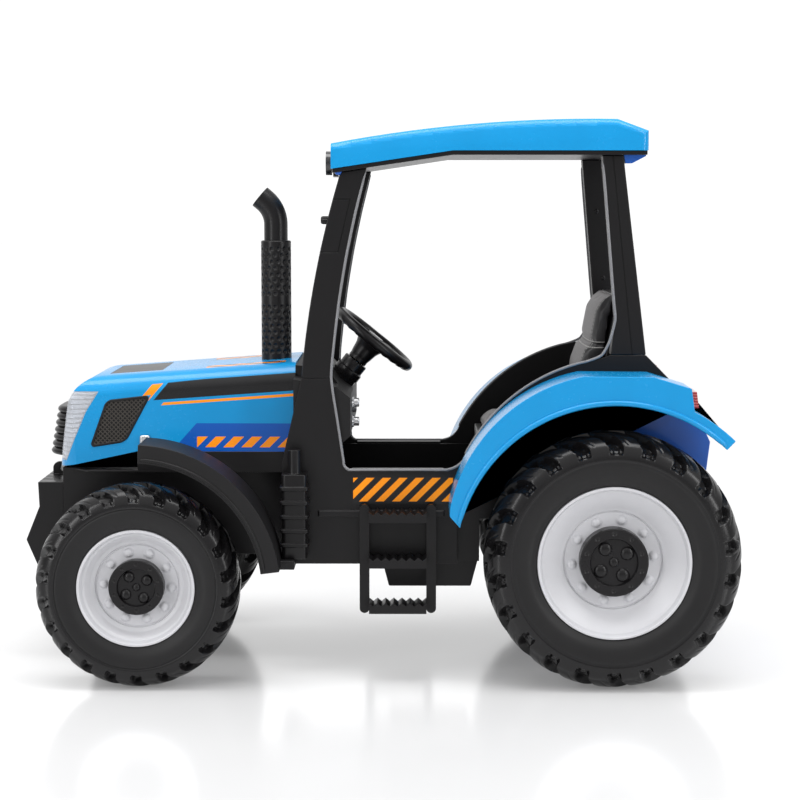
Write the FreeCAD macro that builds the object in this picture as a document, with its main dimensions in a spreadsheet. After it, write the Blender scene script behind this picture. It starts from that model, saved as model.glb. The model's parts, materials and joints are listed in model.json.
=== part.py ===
"""Ride-on tractor toy: a battery tractor that a child sits in, with a cab, hood and lugged tyres.

Frame: +X is forward, +Y is the driver's left and +Z is up. The origin is on the ground, under the
middle of the tractor's length and width. Lengths are millimetres and angles are degrees.
"""
import FreeCAD, Part
import itertools
import math
import os
import re

import Sketcher

doc = FreeCAD.newDocument("ride_on_tractor")
spec = doc.addObject("Spreadsheet::Sheet", "Spec")
spec_rows = itertools.count(1)
pieces = {}
FUNCTIONS = ("sin", "cos", "tan", "sqrt")


def sizes(group):
    """Write one group of driving sizes into the sheet, each in a cell with its own name."""
    for name, number in group.items():
        row = next(spec_rows)
        spec.set(f"A{row}", name)
        spec.set(f"B{row}", str(number))
        spec.setAlias(f"B{row}", name)
    spec.recompute()


def bound(text):
    """A sum of size names as an expression on the sheet."""
    def on_sheet(word):
        return word.group() if word.group() in FUNCTIONS else "Spec." + word.group()
    return re.sub(r"[a-z]\w*", on_sheet, text)


def number(text):
    """What a sum of size names comes to now."""
    return float(spec.evalExpression(bound(text)))


def place(piece, x="0", y="0", z="0", axis=None, turn="0"):
    """Put a piece at a place, turned about an axis, where both follow the sheet."""
    if axis:
        piece.Placement.Rotation = FreeCAD.Rotation(FreeCAD.Vector(*axis), number(turn))
        piece.setExpression("Placement.Rotation.Angle", bound(turn))
    for direction, text in (("x", x), ("y", y), ("z", z)):
        piece.setExpression(f"Placement.Base.{direction}", bound(text))
    return piece


def new_body(name):
    return doc.addObject("PartDesign::Body", name)


def sketch_on(body, plane, lift="0"):
    """An empty sketch on one of the body's own planes, lifted along that plane's normal."""
    sketch = body.newObject("Sketcher::SketchObject", "sketch")
    support = [item for item in body.Origin.OriginFeatures if item.Role == plane][0]
    sketch.AttachmentSupport = (support, [""])
    sketch.MapMode = "FlatFace"
    sketch.setExpression("AttachmentOffset.Base.z", bound(lift))
    return sketch


def hold(sketch, kind, text, *target):
    """Add one dimension whose value follows the sheet; a zero keeps its point on the axis."""
    if text == "0":
        axis = -2 if kind == "DistanceX" else -1
        sketch.addConstraint(Sketcher.Constraint("PointOnObject", *target[2:], axis))
        return
    index = sketch.addConstraint(Sketcher.Constraint(kind, *target, number(text)))
    sketch.setExpression(f"Constraints[{index}]", bound(text))


def arc_between(start, end, radius):
    """The short arc from start to end: a positive radius turns left, a negative one turns right."""
    chord = end - start
    left = FreeCAD.Vector(-chord.y, chord.x, 0).normalize()
    reach = math.sqrt(max(radius ** 2 - chord.Length ** 2 / 4, 0))
    middle = (start + end) / 2 + left * math.copysign(reach, radius)
    first, last = (start, end) if radius > 0 else (end, start)
    angles = [math.atan2(spot.y - middle.y, spot.x - middle.x) for spot in (first, last)]
    circle = Part.Circle(middle, FreeCAD.Vector(0, 0, 1), abs(radius))
    return Part.ArcOfCircle(circle, *angles)


def outline(body, plane, corners, lift="0"):
    """A closed outline. A corner is (across, up), or (across, up, radius) where an arc follows it."""
    sketch = sketch_on(body, plane, lift)
    spots = [FreeCAD.Vector(number(corner[0]), number(corner[1]), 0) for corner in corners]
    ends = []
    for index, corner in enumerate(corners):
        start, end = spots[index], spots[(index + 1) % len(spots)]
        if len(corner) == 2:
            sketch.addGeometry(Part.LineSegment(start, end))
            ends.append((1, 2))
        else:
            radius = number(corner[2])
            sketch.addGeometry(arc_between(start, end, radius))
            ends.append((1, 2) if radius > 0 else (2, 1))
    for index, corner in enumerate(corners):
        follower = (index + 1) % len(corners)
        sketch.addConstraint(
            Sketcher.Constraint("Coincident", index, ends[index][1], follower, ends[follower][0]))
        hold(sketch, "DistanceX", corner[0], -1, 1, index, ends[index][0])
        hold(sketch, "DistanceY", corner[1], -1, 1, index, ends[index][0])
        if len(corner) == 3:
            hold(sketch, "Radius", corner[2].lstrip("-"), index)
    return sketch


def rings(body, plane, places, radius, lift="0"):
    """Equal circles in one sketch, each at (across, up)."""
    sketch = sketch_on(body, plane, lift)
    for index, (across, up) in enumerate(places):
        middle = FreeCAD.Vector(number(across), number(up), 0)
        sketch.addGeometry(Part.Circle(middle, FreeCAD.Vector(0, 0, 1), number(radius)))
        hold(sketch, "DistanceX", across, -1, 1, index, 3)
        hold(sketch, "DistanceY", up, -1, 1, index, 3)
        hold(sketch, "Radius", radius, index)
    return sketch


def pad(body, sketch, length, symmetric=False, back=False):
    feature = body.newObject("PartDesign::Pad", "pad")
    feature.Profile = sketch
    feature.setExpression("Length", bound(length))
    feature.SideType = "Symmetric" if symmetric else "One side"
    feature.Reversed = back
    return feature


def pocket(body, sketch, depth=None, back=False):
    """Cut a sketch into the body: right through it both ways, or to a depth on one side."""
    feature = body.newObject("PartDesign::Pocket", "pocket")
    feature.Profile = sketch
    if depth is None:
        feature.Type = "ThroughAll"
        feature.SideType = "Symmetric"
    else:
        feature.setExpression("Length", bound(depth))
        feature.Reversed = back
    return feature


def turned(body, corners, kind="Revolution"):
    """Turn a section about the Y axis, to add it or as a Groove; corners are (along Y, radius)."""
    feature = body.newObject(f"PartDesign::{kind}", "turned")
    sketch = outline(body, "YZ_Plane", corners)
    feature.Profile = sketch
    feature.ReferenceAxis = (sketch, ["H_Axis"])
    feature.Angle = 360
    return feature


def around(body, feature, count, role="Y_Axis"):
    """Repeat a feature evenly round one of the body's own axes."""
    pattern = body.newObject("PartDesign::PolarPattern", "around")
    pattern.Originals = [feature]
    axis = [item for item in body.Origin.OriginFeatures if item.Role == role][0]
    pattern.Axis = (axis, [""])
    pattern.Angle = 360
    pattern.setExpression("Occurrences", bound(count))
    body.Tip = pattern
    return pattern


def rod(radius, length, x="0", y="0", z="0", axis=None, turn="0"):
    """A round bar that stands up from its place, or is turned about an axis."""
    bar = doc.addObject("Part::Cylinder", "rod")
    bar.setExpression("Radius", bound(radius))
    bar.setExpression("Height", bound(length))
    return place(bar, x, y, z, axis, turn)


def block(length, width, height, x, y, z):
    """A box from its lowest corner."""
    box = doc.addObject("Part::Box", "block")
    for side, text in (("Length", length), ("Width", width), ("Height", height)):
        box.setExpression(side, bound(text))
    return place(box, x, y, z)


def joined(*shapes):
    fuse = doc.addObject("Part::MultiFuse", "joined")
    fuse.Shapes = list(shapes)
    return fuse


def cut(base, *tools):
    result = doc.addObject("Part::Cut", "cut")
    result.Base = base
    result.Tool = tools[0] if len(tools) == 1 else joined(*tools)
    return result


def shared(*shapes):
    common = doc.addObject("Part::MultiCommon", "shared")
    common.Shapes = list(shapes)
    return common


def mirrored(source):
    """The same piece on the tractor's other side."""
    mirror = doc.addObject("Part::Mirroring", "mirrored")
    mirror.Source = source
    mirror.Normal = FreeCAD.Vector(0, 1, 0)
    return mirror


def group(*shapes):
    """Separate solids that share one node."""
    several = doc.addObject("Part::Compound", "group")
    several.Links = list(shapes)
    return several


def keep(label, piece):
    piece.Label = label
    pieces[label] = piece
    return piece


def keep_pair(name, left):
    """Keep a left-hand piece and its mirror image as two nodes."""
    keep(f"{name}_left", left)
    keep(f"{name}_right", mirrored(left))


TO_LEFT = ((-1, 0, 0), "90")

fits_sizes = {
    "running_gap": 0.05, "seat_gap": 0.3, "overrun": 5, "wall": 4,
}
sizes(fits_sizes)

# Wheels: a lugged tyre on a dished rim, closed by a hub cap
running_gear_sizes = {
    "front_axle_x": 430, "rear_axle_x": -432, "track_half": 287,
}
sizes(running_gear_sizes)
front_wheel_sizes = {
    "front_tyre_radius": 186, "front_tyre_width": 120, "front_sidewall_rise": 26, "front_shoulder": 24,
    "front_lug_height": 13, "front_lug_count": 22, "front_lug_thick": 14, "front_lug_sweep": 36,
    "front_lug_end": 14, "front_rim_radius": 108, "front_rim_width": 96, "front_disc_radius": 76,
    "front_disc_depth": 30, "front_hub_radius": 22, "front_cap_radius": 50, "front_cap_height": 24,
    "front_axle_radius": 6,
}
sizes(front_wheel_sizes)
rear_wheel_sizes = {
    "rear_tyre_radius": 234, "rear_tyre_width": 144, "rear_sidewall_rise": 32, "rear_shoulder": 30,
    "rear_lug_height": 16, "rear_lug_count": 22, "rear_lug_thick": 18, "rear_lug_sweep": 46,
    "rear_lug_end": 18, "rear_rim_radius": 140, "rear_rim_width": 116, "rear_disc_radius": 89,
    "rear_disc_depth": 38, "rear_hub_radius": 30, "rear_cap_radius": 62, "rear_cap_height": 30,
    "rear_axle_radius": 8,
}
sizes(rear_wheel_sizes)
wheel_details_sizes = {
    "tyre_wall": 6, "lug_cross": 4, "lug_inset": 2, "rim_wall": 7, "cap_disc_share": 0.7, "cap_sink": 6,
    "cap_notch_count": 12, "cap_notch_width": 5, "cap_notch_depth": 3, "axle_end": 12,
    "cap_cavity_radius": 16, "cap_cavity_depth": 16,
}
sizes(wheel_details_sizes)


def lug(body, end, side):
    """One bar of the tread: a slanted block from just past the middle to the shoulder.

    The bars of one side sit half a pitch round from those of the other side.
    """
    reach = f"(({end}_lug_sweep + {end}_lug_thick) / 2)"
    top = f"sqrt({end}_tyre_radius ^ 2 - {reach} ^ 2)"
    middle, shoulder = f"{-side} * lug_cross", f"{side} * ({end}_tyre_width / 2 - lug_inset)"
    sweep, thick = f"{end}_lug_sweep / 2", f"{end}_lug_thick"
    sketch = outline(body, "XY_Plane", [
        (f"{sweep} - {thick} / 2", middle),
        (f"{sweep} + {thick} / 2", middle),
        (f"{thick} - {sweep}", shoulder),
        (f"-{thick} - {sweep}", shoulder)], top)
    if side < 0:
        half_pitch = f"(180 / {end}_lug_count)"
        sketch.AttachmentOffset = FreeCAD.Placement(
            FreeCAD.Vector(), FreeCAD.Rotation(FreeCAD.Vector(0, 1, 0), number(half_pitch)))
        sketch.setExpression("AttachmentOffset.Base.x", bound(f"{top} * sin({half_pitch})"))
        sketch.setExpression("AttachmentOffset.Base.z", bound(f"{top} * cos({half_pitch})"))
        sketch.setExpression("AttachmentOffset.Rotation.Angle", bound(half_pitch))
    bar = pad(body, sketch, f"{end}_lug_height + {end}_shoulder", back=True)
    around(body, bar, f"{end}_lug_count")


def tyre(end):
    """A hollow carcass, open towards the rim, with two rows of bars that round over its shoulders."""
    body = new_body(f"{end}_tyre")
    half, bead = f"{end}_tyre_width / 2", f"{end}_rim_width / 2"
    seat = f"{end}_rim_radius + running_gap"
    bulge = f"{end}_rim_radius + {end}_sidewall_rise"
    tread = f"{end}_tyre_radius - {end}_lug_height"
    turned(body, [
        (f"-{bead}", seat),
        (f"-{half}", bulge),
        (f"-{half}", f"{tread} - {end}_shoulder"),
        (f"{end}_shoulder - {half}", tread),
        (f"{half} - {end}_shoulder", tread),
        (half, f"{tread} - {end}_shoulder"),
        (half, bulge),
        (bead, seat)])
    lug(body, end, 1)
    lug(body, end, -1)
    for side in ("", "-"):
        turned(body, [
            (f"{side}({half} - {end}_lug_end)", f"{end}_tyre_radius"),
            (f"{side}({half} - lug_inset)", f"{tread} - {end}_lug_end"),
            (f"{side}({half})", f"{tread} - {end}_shoulder"),
            (f"{side}({half} + overrun)", f"{tread} - {end}_shoulder"),
            (f"{side}({half} + overrun)", f"{end}_tyre_radius + overrun"),
            (f"{side}({half} - {end}_lug_end)", f"{end}_tyre_radius + overrun")], "Groove")
    turned(body, [
        (f"tyre_wall - {bead}", f"{seat} - overrun"),
        (f"tyre_wall - {half}", bulge),
        (f"tyre_wall - {half}", f"{tread} - {end}_shoulder"),
        (f"{end}_shoulder - {half}", f"{tread} - tyre_wall"),
        (f"{half} - {end}_shoulder", f"{tread} - tyre_wall"),
        (f"{half} - tyre_wall", f"{tread} - {end}_shoulder"),
        (f"{half} - tyre_wall", bulge),
        (f"{bead} - tyre_wall", f"{seat} - overrun")], "Groove")
    return place(body, f"{end}_axle_x", "track_half", f"{end}_tyre_radius")


def rim(end):
    """A deep dish: the disc stands inside the outer lip, with a hub tube behind it."""
    body = new_body(f"{end}_rim")
    bead, seat = f"{end}_rim_width / 2", f"{end}_rim_radius"
    disc = f"{bead} - {end}_disc_depth"
    bore = f"{end}_axle_radius + running_gap"
    turned(body, [
        (f"-{bead}", seat),
        (bead, seat),
        (bead, f"{seat} - rim_wall"),
        (disc, f"{end}_disc_radius"),
        (disc, bore),
        (f"-{bead}", bore),
        (f"-{bead}", f"{end}_hub_radius"),
        (f"{disc} - rim_wall", f"{end}_hub_radius"),
        (f"{disc} - rim_wall", f"{end}_disc_radius"),
        (f"{bead} - rim_wall", f"{seat} - rim_wall"),
        (f"-{bead}", f"{seat} - rim_wall")])
    return place(body, f"{end}_axle_x", "track_half", f"{end}_tyre_radius")


def hub_cap(end):
    """A notched ring round a sunk disc, hollow where the axle's end and nut stand."""
    body = new_body(f"{end}_hub_cap")
    disc = f"{end}_rim_width / 2 - {end}_disc_depth"
    top = f"{disc} + {end}_cap_height"
    inner = f"({end}_cap_radius * cap_disc_share)"
    turned(body, [
        (disc, "cap_cavity_radius"),
        (disc, f"{end}_cap_radius"),
        (top, f"{end}_cap_radius"),
        (top, inner),
        (f"{top} - cap_sink", inner),
        (f"{top} - cap_sink", "0"),
        (f"{disc} + cap_cavity_depth", "0"),
        (f"{disc} + cap_cavity_depth", "cap_cavity_radius")])
    notch = outline(body, "XY_Plane", [
        ("-cap_notch_width / 2", f"{top} - cap_notch_depth"),
        ("cap_notch_width / 2", f"{top} - cap_notch_depth"),
        ("cap_notch_width / 2", f"{top} + overrun"),
        ("-cap_notch_width / 2", f"{top} + overrun")], f"{inner} - cap_notch_width")
    around(body, pocket(body, notch, "2 * cap_notch_width", back=True), "cap_notch_count")
    return place(body, f"{end}_axle_x", "track_half", f"{end}_tyre_radius")


for end in ("front", "rear"):
    keep_pair(f"{end}_tyre", tyre(end))
    keep_pair(f"{end}_rim", rim(end))
    keep_pair(f"{end}_hub_cap", hub_cap(end))

# Steering gear: a beam with forked ends, two knuckles, and a tie rod that a pitman arm pushes
steering_gear_sizes = {
    "kingpin_y": 215, "kingpin_radius": 6, "barrel_radius": 13, "barrel_height": 36, "fork_thick": 7,
    "fork_margin": 15, "beam_depth": 30, "beam_end_y": 184, "cheek_thick": 12, "saddle_y": 80,
    "saddle_width": 30, "steer_arm": 45, "arm_width": 20, "arm_thick": 7, "arm_drop": 5,
    "link_pin_radius": 4, "link_pin_length": 11, "link_width": 16, "link_thick": 7, "link_gap": 1,
    "stub_end": 12,
}
sizes(steering_gear_sizes)
steering_gearbox_sizes = {
    "pitman_x": 370, "gearbox_rear_x": 235, "gearbox_front_x": 395, "gearbox_width": 90,
    "gearbox_height": 70, "gearbox_socket": 16,
}
sizes(steering_gearbox_sizes)
steering_wheel_sizes = {
    "wheel_x": 5, "wheel_z": 614, "column_tilt": 51, "wheel_radius": 93, "wheel_grip": 10.5,
    "wheel_hub_radius": 28, "wheel_hub_depth": 46, "spoke_width": 24, "spoke_thick": 8,
    "shaft_radius": 7, "shaft_length": 428, "shaft_head": 12, "horn_radius": 17, "horn_height": 9,
    "horn_recess": 9, "horn_travel": 3,
}
sizes(steering_wheel_sizes)
front_frame_floor_sizes = {
    "frame_floor_z": 212,
}
sizes(front_frame_floor_sizes)

EDGE_ON = ((0, -1, 0), "90 - column_tilt")
fork_low = "front_tyre_radius - barrel_height / 2 - running_gap - fork_thick"
fork_high = "front_tyre_radius + barrel_height / 2 + running_gap"
arm_top = f"{fork_low} - arm_drop"
link_top = f"{arm_top} - arm_thick - link_gap"


def down_column(distance):
    """The place on the steering column's line at a distance below the wheel's middle."""
    along = f"({distance})"
    return (f"wheel_x + {along} * cos(column_tilt)", "0", f"wheel_z - {along} * sin(column_tilt)")


def front_axle_beam():
    """A square bar whose forked ends hold the kingpins, with saddles that meet the frame."""
    reach = "kingpin_y + fork_margin"
    depth_x = "front_axle_x - beam_depth / 2"
    low_z = "front_tyre_radius - beam_depth / 2"
    solids = [block("beam_depth", "2 * beam_end_y", "beam_depth", depth_x, "-beam_end_y", low_z)]
    for side in (1, -1):
        start = "beam_end_y - cheek_thick" if side > 0 else f"-({reach})"
        width = f"{reach} - beam_end_y + cheek_thick"
        for fork_z in (fork_low, fork_high):
            solids.append(block("beam_depth", width, "fork_thick", depth_x, start, fork_z))
        cheek = "beam_end_y - cheek_thick" if side > 0 else "-beam_end_y"
        height = f"{fork_high} + fork_thick - ({fork_low})"
        solids.append(block("beam_depth", "cheek_thick", height, depth_x, cheek, fork_low))
        top_z = "front_tyre_radius + beam_depth / 2"
        solids.append(block("beam_depth", "saddle_width", f"frame_floor_z - ({top_z})", depth_x,
                            f"{side} * saddle_y - saddle_width / 2", top_z))
    bores = [rod("kingpin_radius + running_gap", "2 * front_tyre_radius", "front_axle_x",
                 f"{side} * kingpin_y", "0") for side in (1, -1)]
    return cut(joined(*solids), *bores)


def knuckle():
    """Kingpin, barrel, stub axle and steering arm, with the tie rod's pin under the arm."""
    barrel = rod("barrel_radius", "barrel_height", "front_axle_x", "kingpin_y",
                 "front_tyre_radius - barrel_height / 2")
    pin_low = f"{arm_top} - arm_thick"
    kingpin = rod("kingpin_radius", f"{fork_high} + fork_thick + arm_drop - ({pin_low})",
                  "front_axle_x", "kingpin_y", pin_low)
    disc = "front_rim_width / 2 - front_disc_depth"
    stub = rod("front_axle_radius", f"track_half + {disc} + stub_end - kingpin_y",
               "front_axle_x", "kingpin_y", "front_tyre_radius", *TO_LEFT)
    arm = block("steer_arm + arm_width / 2", "arm_width", "arm_thick",
                "front_axle_x - steer_arm", "kingpin_y - arm_width / 2", pin_low)
    eye = rod("arm_width / 2", "arm_thick", "front_axle_x - steer_arm", "kingpin_y", pin_low)
    link_pin = rod("link_pin_radius", "link_pin_length + arm_thick", "front_axle_x - steer_arm",
                   "kingpin_y", f"{pin_low} - link_pin_length")
    return joined(barrel, kingpin, stub, arm, eye, link_pin)


def pitman_arm():
    """The gearbox's output shaft and arm: as long as the knuckle arms, so all three stay parallel."""
    low = f"{arm_top} - arm_thick"
    shaft = rod("kingpin_radius", f"frame_floor_z + wall + gearbox_height / 3 - ({low})",
                "pitman_x", "0", low)
    arm = block("steer_arm + arm_width / 2", "arm_width", "arm_thick",
                "pitman_x - steer_arm", "-arm_width / 2", low)
    eye = rod("arm_width / 2", "arm_thick", "pitman_x - steer_arm", "0", low)
    link_pin = rod("link_pin_radius", "link_pin_length + arm_thick", "pitman_x - steer_arm", "0",
                   f"{low} - link_pin_length")
    return joined(shaft, arm, eye, link_pin)


def tie_rod():
    """A flat bar between the knuckle pins, with a tongue back to the pitman arm's pin."""
    low = f"{link_top} - link_thick"
    bar_x, tongue_x = "front_axle_x - steer_arm", "pitman_x - steer_arm"
    bar = block("link_width", "2 * kingpin_y", "link_thick", f"{bar_x} - link_width / 2", "-kingpin_y", low)
    tongue = block(f"{bar_x} - ({tongue_x})", "link_width", "link_thick", tongue_x, "-link_width / 2", low)
    pins = [(bar_x, "kingpin_y"), (bar_x, "-kingpin_y"), (tongue_x, "0")]
    eyes = [rod("link_width / 2", "link_thick", x, y, low) for x, y in pins]
    bores = [rod("link_pin_radius + running_gap", "link_thick + 2 * overrun", x, y, f"{low} - overrun")
             for x, y in pins]
    return cut(joined(bar, tongue, *eyes), *bores)


def steering_gearbox():
    """A closed housing on the frame floor: the column's shaft goes in above, the pitman shaft below."""
    base_z = "frame_floor_z + wall"
    body = new_body("gearbox_housing")
    pad(body, outline(body, "XZ_Plane", [
        ("gearbox_rear_x", base_z),
        ("gearbox_front_x", base_z),
        ("gearbox_front_x", f"{base_z} + gearbox_height * 2 / 3"),
        ("pitman_x", f"{base_z} + gearbox_height"),
        ("gearbox_rear_x", f"{base_z} + gearbox_height")]), "gearbox_width", symmetric=True)
    socket = rod("gearbox_socket", "2 * gearbox_socket",
                 *down_column("shaft_length + gearbox_socket"), *EDGE_ON)
    shaft_bore = rod("shaft_radius + running_gap", "3 * gearbox_socket",
                     *down_column("shaft_length + running_gap"), *EDGE_ON)
    pitman_bore = rod("kingpin_radius + running_gap", "wall + gearbox_height / 3 + running_gap",
                      "pitman_x", "0", "frame_floor_z")
    return cut(joined(body, socket), shaft_bore, pitman_bore)


def steering_wheel():
    """A round grip on three spokes and a deep hub, with a recess for the horn button."""
    grip = doc.addObject("Part::Torus", "grip")
    grip.setExpression("Radius1", bound("wheel_radius - wheel_grip"))
    grip.setExpression("Radius2", bound("wheel_grip"))
    hub = rod("wheel_hub_radius", "wheel_hub_depth + spoke_thick / 2", z="-wheel_hub_depth")
    spokes = []
    for turn in ("0", "120", "240"):
        spoke = block("wheel_radius - wheel_grip", "spoke_width", "spoke_thick", "0", "0", "0")
        place(spoke, f"spoke_width / 2 * sin({turn})", f"-spoke_width / 2 * cos({turn})", "-spoke_thick / 2",
              (0, 0, 1), turn)
        spokes.append(spoke)
    recess = rod("horn_radius + seat_gap", "horn_recess + overrun", z="spoke_thick / 2 - horn_recess")
    bore = rod("shaft_radius", "shaft_head", z="-wheel_hub_depth")
    return place(cut(joined(grip, hub, *spokes), recess, bore), *down_column("0"), *EDGE_ON)


keep("front_axle_beam", front_axle_beam())
keep_pair("knuckle", knuckle())
keep("pitman_arm", pitman_arm())
keep("tie_rod", tie_rod())
keep("steering_gearbox", steering_gearbox())
keep("steering_wheel", steering_wheel())
keep("steering_shaft", rod("shaft_radius", "shaft_length - wheel_hub_depth + shaft_head",
                           *down_column("shaft_length"), *EDGE_ON))
keep("horn_button", rod("horn_radius", "horn_height",
                        *down_column("horn_recess - spoke_thick / 2 - horn_travel"), *EDGE_ON))

# Chassis: floor pan, front frame, axle and drive
floor_pan_sizes = {
    "pan_front_x": 172, "riser_x": -190, "pan_rear_x": -480, "pan_half": 200, "sill_z": 388,
    "deck_z": 292,
}
sizes(floor_pan_sizes)
pedal_sizes = {
    "pedal_x": 25, "pedal_y": -95, "pedal_width": 64, "pedal_length": 105, "pedal_thick": 9,
    "pedal_rise": 35, "pedal_pin_radius": 4, "pedal_pin_height": 14, "pedal_ear": 8,
    "pedal_side_gap": 1,
}
sizes(pedal_sizes)
hood_outline_sizes = {
    "hood_rear_x": 150, "hood_kink_x": 447, "hood_nose_x": 600, "hood_low_z": 413,
    "hood_nose_low_z": 380, "brow_x": 580, "brow_z": 500, "brow_back_x": 512, "brow_back_z": 553,
    "brow_radius": 72, "hood_top_z": 579, "hood_top_nose_z": 547, "hood_half": 165,
    "hood_nose_half": 156, "hood_lean": 6, "hood_shoulder": 38, "nose_corner": 72,
}
sizes(hood_outline_sizes)
front_frame_sizes = {
    "frame_half": 125, "frame_front_x": 594, "flange_z": 374, "lip_front_x": 540, "lip_nose_half": 105,
}
sizes(front_frame_sizes)
front_weights_sizes = {
    "weights_half": 120, "weights_top_z": 349, "weights_low_z": 181, "weights_brow_x": 643,
    "weights_nose_x": 667, "weights_nose_z": 238, "weights_waist_x": 641, "weights_waist_z": 302,
    "weights_groove": 4, "weights_groove_depth": 24, "weights_groove_count": 5, "tow_eye_height": 24,
    "tow_eye_length": 40, "tow_eye_thick": 14, "tow_eye_bore": 6,
}
sizes(front_weights_sizes)
belly_tray_sizes = {
    "tray_front_x": -10, "tray_rear_x": -195, "tray_half": 150, "tray_low_z": 155, "tray_slant": 15,
    "battery_length": 140, "battery_width": 150, "battery_height": 50,
}
sizes(belly_tray_sizes)
gearmotors_sizes = {
    "motor_inner_y": 110, "motor_outer_y": 188, "motor_front_x": -330, "motor_rear_x": -476,
    "motor_low_z": 196, "motor_nose_z": 250,
}
sizes(gearmotors_sizes)
tail_sizes = {
    "tail_rear_x": -622, "tail_low_x": -598, "tail_low_z": 232, "tail_top_z": 492, "tail_rear_z": 436,
    "tail_brow_x": -596, "tail_half": 198, "hitch_width": 60, "hitch_length": 52, "hitch_gap": 16,
    "hitch_plate": 7, "hitch_z": 262, "hitch_bore": 6,
}
sizes(tail_sizes)


def wall_pair(body, corners, outer, thick="wall"):
    """The same upright wall on both sides of the middle, with its outer face at a half width."""
    pad(body, outline(body, "XZ_Plane", corners, f"-({outer})"), thick)
    pad(body, outline(body, "XZ_Plane", corners, f"{outer} - {thick}"), thick)


def floor_pan():
    """A folded tray: footwell in front, a raised deck over the rear axle, and two side walls."""
    body = new_body("floor_tray")
    floor, top = "frame_floor_z", "sill_z - wall"
    pad(body, outline(body, "XZ_Plane", [
        ("pan_front_x", floor),
        ("pan_front_x", top),
        ("pan_front_x - wall", top),
        ("pan_front_x - wall", f"{floor} + wall"),
        ("riser_x", f"{floor} + wall"),
        ("riser_x", "deck_z + wall"),
        ("pan_rear_x + wall", "deck_z + wall"),
        ("pan_rear_x + wall", top),
        ("pan_rear_x", top),
        ("pan_rear_x", "deck_z"),
        ("riser_x - wall", "deck_z"),
        ("riser_x - wall", floor)]), "2 * pan_half", symmetric=True)
    wall_pair(body, [
        ("pan_front_x", floor),
        ("pan_front_x", top),
        ("pan_rear_x", top),
        ("pan_rear_x", "deck_z"),
        ("riser_x - wall", "deck_z"),
        ("riser_x - wall", floor)], "pan_half")
    ears = []
    for side in (1, -1):
        middle = f"pedal_y + {side} * (pedal_width / 2 + pedal_side_gap + pedal_ear / 2)"
        ears.append(block("4 * pedal_pin_radius", "pedal_ear", "pedal_pin_height + 2 * pedal_pin_radius",
                          "pedal_x - 2 * pedal_pin_radius", f"{middle} - pedal_ear / 2", f"{floor} + wall"))
    bore = rod("pedal_pin_radius + running_gap", "2 * pedal_width", "pedal_x", "pedal_y - pedal_width",
               f"{floor} + wall + pedal_pin_height", *TO_LEFT)
    return cut(joined(body, *ears), bore)


def foot_pedal():
    """A plate that slopes up and forward from a cross pin in two ears on the floor."""
    pin_z = "frame_floor_z + wall + pedal_pin_height"
    pin_half = "(pedal_width / 2 + pedal_side_gap + pedal_ear)"
    pin = rod("pedal_pin_radius", f"2 * {pin_half}", "pedal_x", f"pedal_y - {pin_half}", pin_z, *TO_LEFT)
    barrel = rod("pedal_thick", "pedal_width", "pedal_x", "pedal_y - pedal_width / 2", pin_z, *TO_LEFT)
    plate = block("pedal_length", "pedal_width", "pedal_thick", "0", "0", "0")
    place(plate, "pedal_x", "pedal_y - pedal_width / 2", pin_z, (0, -1, 0), "pedal_rise")
    return joined(pin, barrel, plate)


def front_frame():
    """A trough under the hood with an outward flange, and a lip that the hood's edge stands on."""
    body = new_body("front_trough")
    rear, front, floor = "pan_front_x", "frame_front_x", "frame_floor_z"
    flange_top = "flange_z + wall"
    pad(body, outline(body, "XY_Plane", [
        (rear, "-frame_half"),
        (front, "-frame_half"),
        (front, "frame_half"),
        (rear, "frame_half")], floor), "wall")
    wall_pair(body, [(rear, floor), (front, floor), (front, flange_top), (rear, flange_top)], "frame_half")
    pad(body, outline(body, "YZ_Plane", [
        ("-frame_half", floor),
        ("frame_half", floor),
        ("frame_half", flange_top),
        ("-frame_half", flange_top)], f"{front} - wall"), "wall")
    edge = "hood_half - hood_lean / 3"
    pad(body, outline(body, "XY_Plane", [
        (rear, f"-({edge})"),
        ("lip_front_x", f"-({edge})"),
        (front, "-lip_nose_half"),
        (front, "lip_nose_half"),
        ("lip_front_x", edge),
        (rear, edge)], "flange_z"), "wall")
    wall_pair(body, [
        (rear, "flange_z"),
        ("hood_kink_x", "flange_z"),
        ("hood_kink_x", "hood_low_z"),
        (rear, "hood_low_z")], edge)
    pocket(body, outline(body, "XY_Plane", [
        (f"{rear} + 2 * wall", "wall - frame_half"),
        (f"{front} - wall", "wall - frame_half"),
        (f"{front} - wall", "frame_half - wall"),
        (f"{rear} + 2 * wall", "frame_half - wall")], f"{flange_top} + overrun"), "wall + 2 * overrun")
    pocket(body, rings(body, "XY_Plane", [("pitman_x", "0")], "kingpin_radius + seat_gap",
                       f"{floor} + wall + overrun"),
           "wall + 2 * overrun")
    return body


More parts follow.
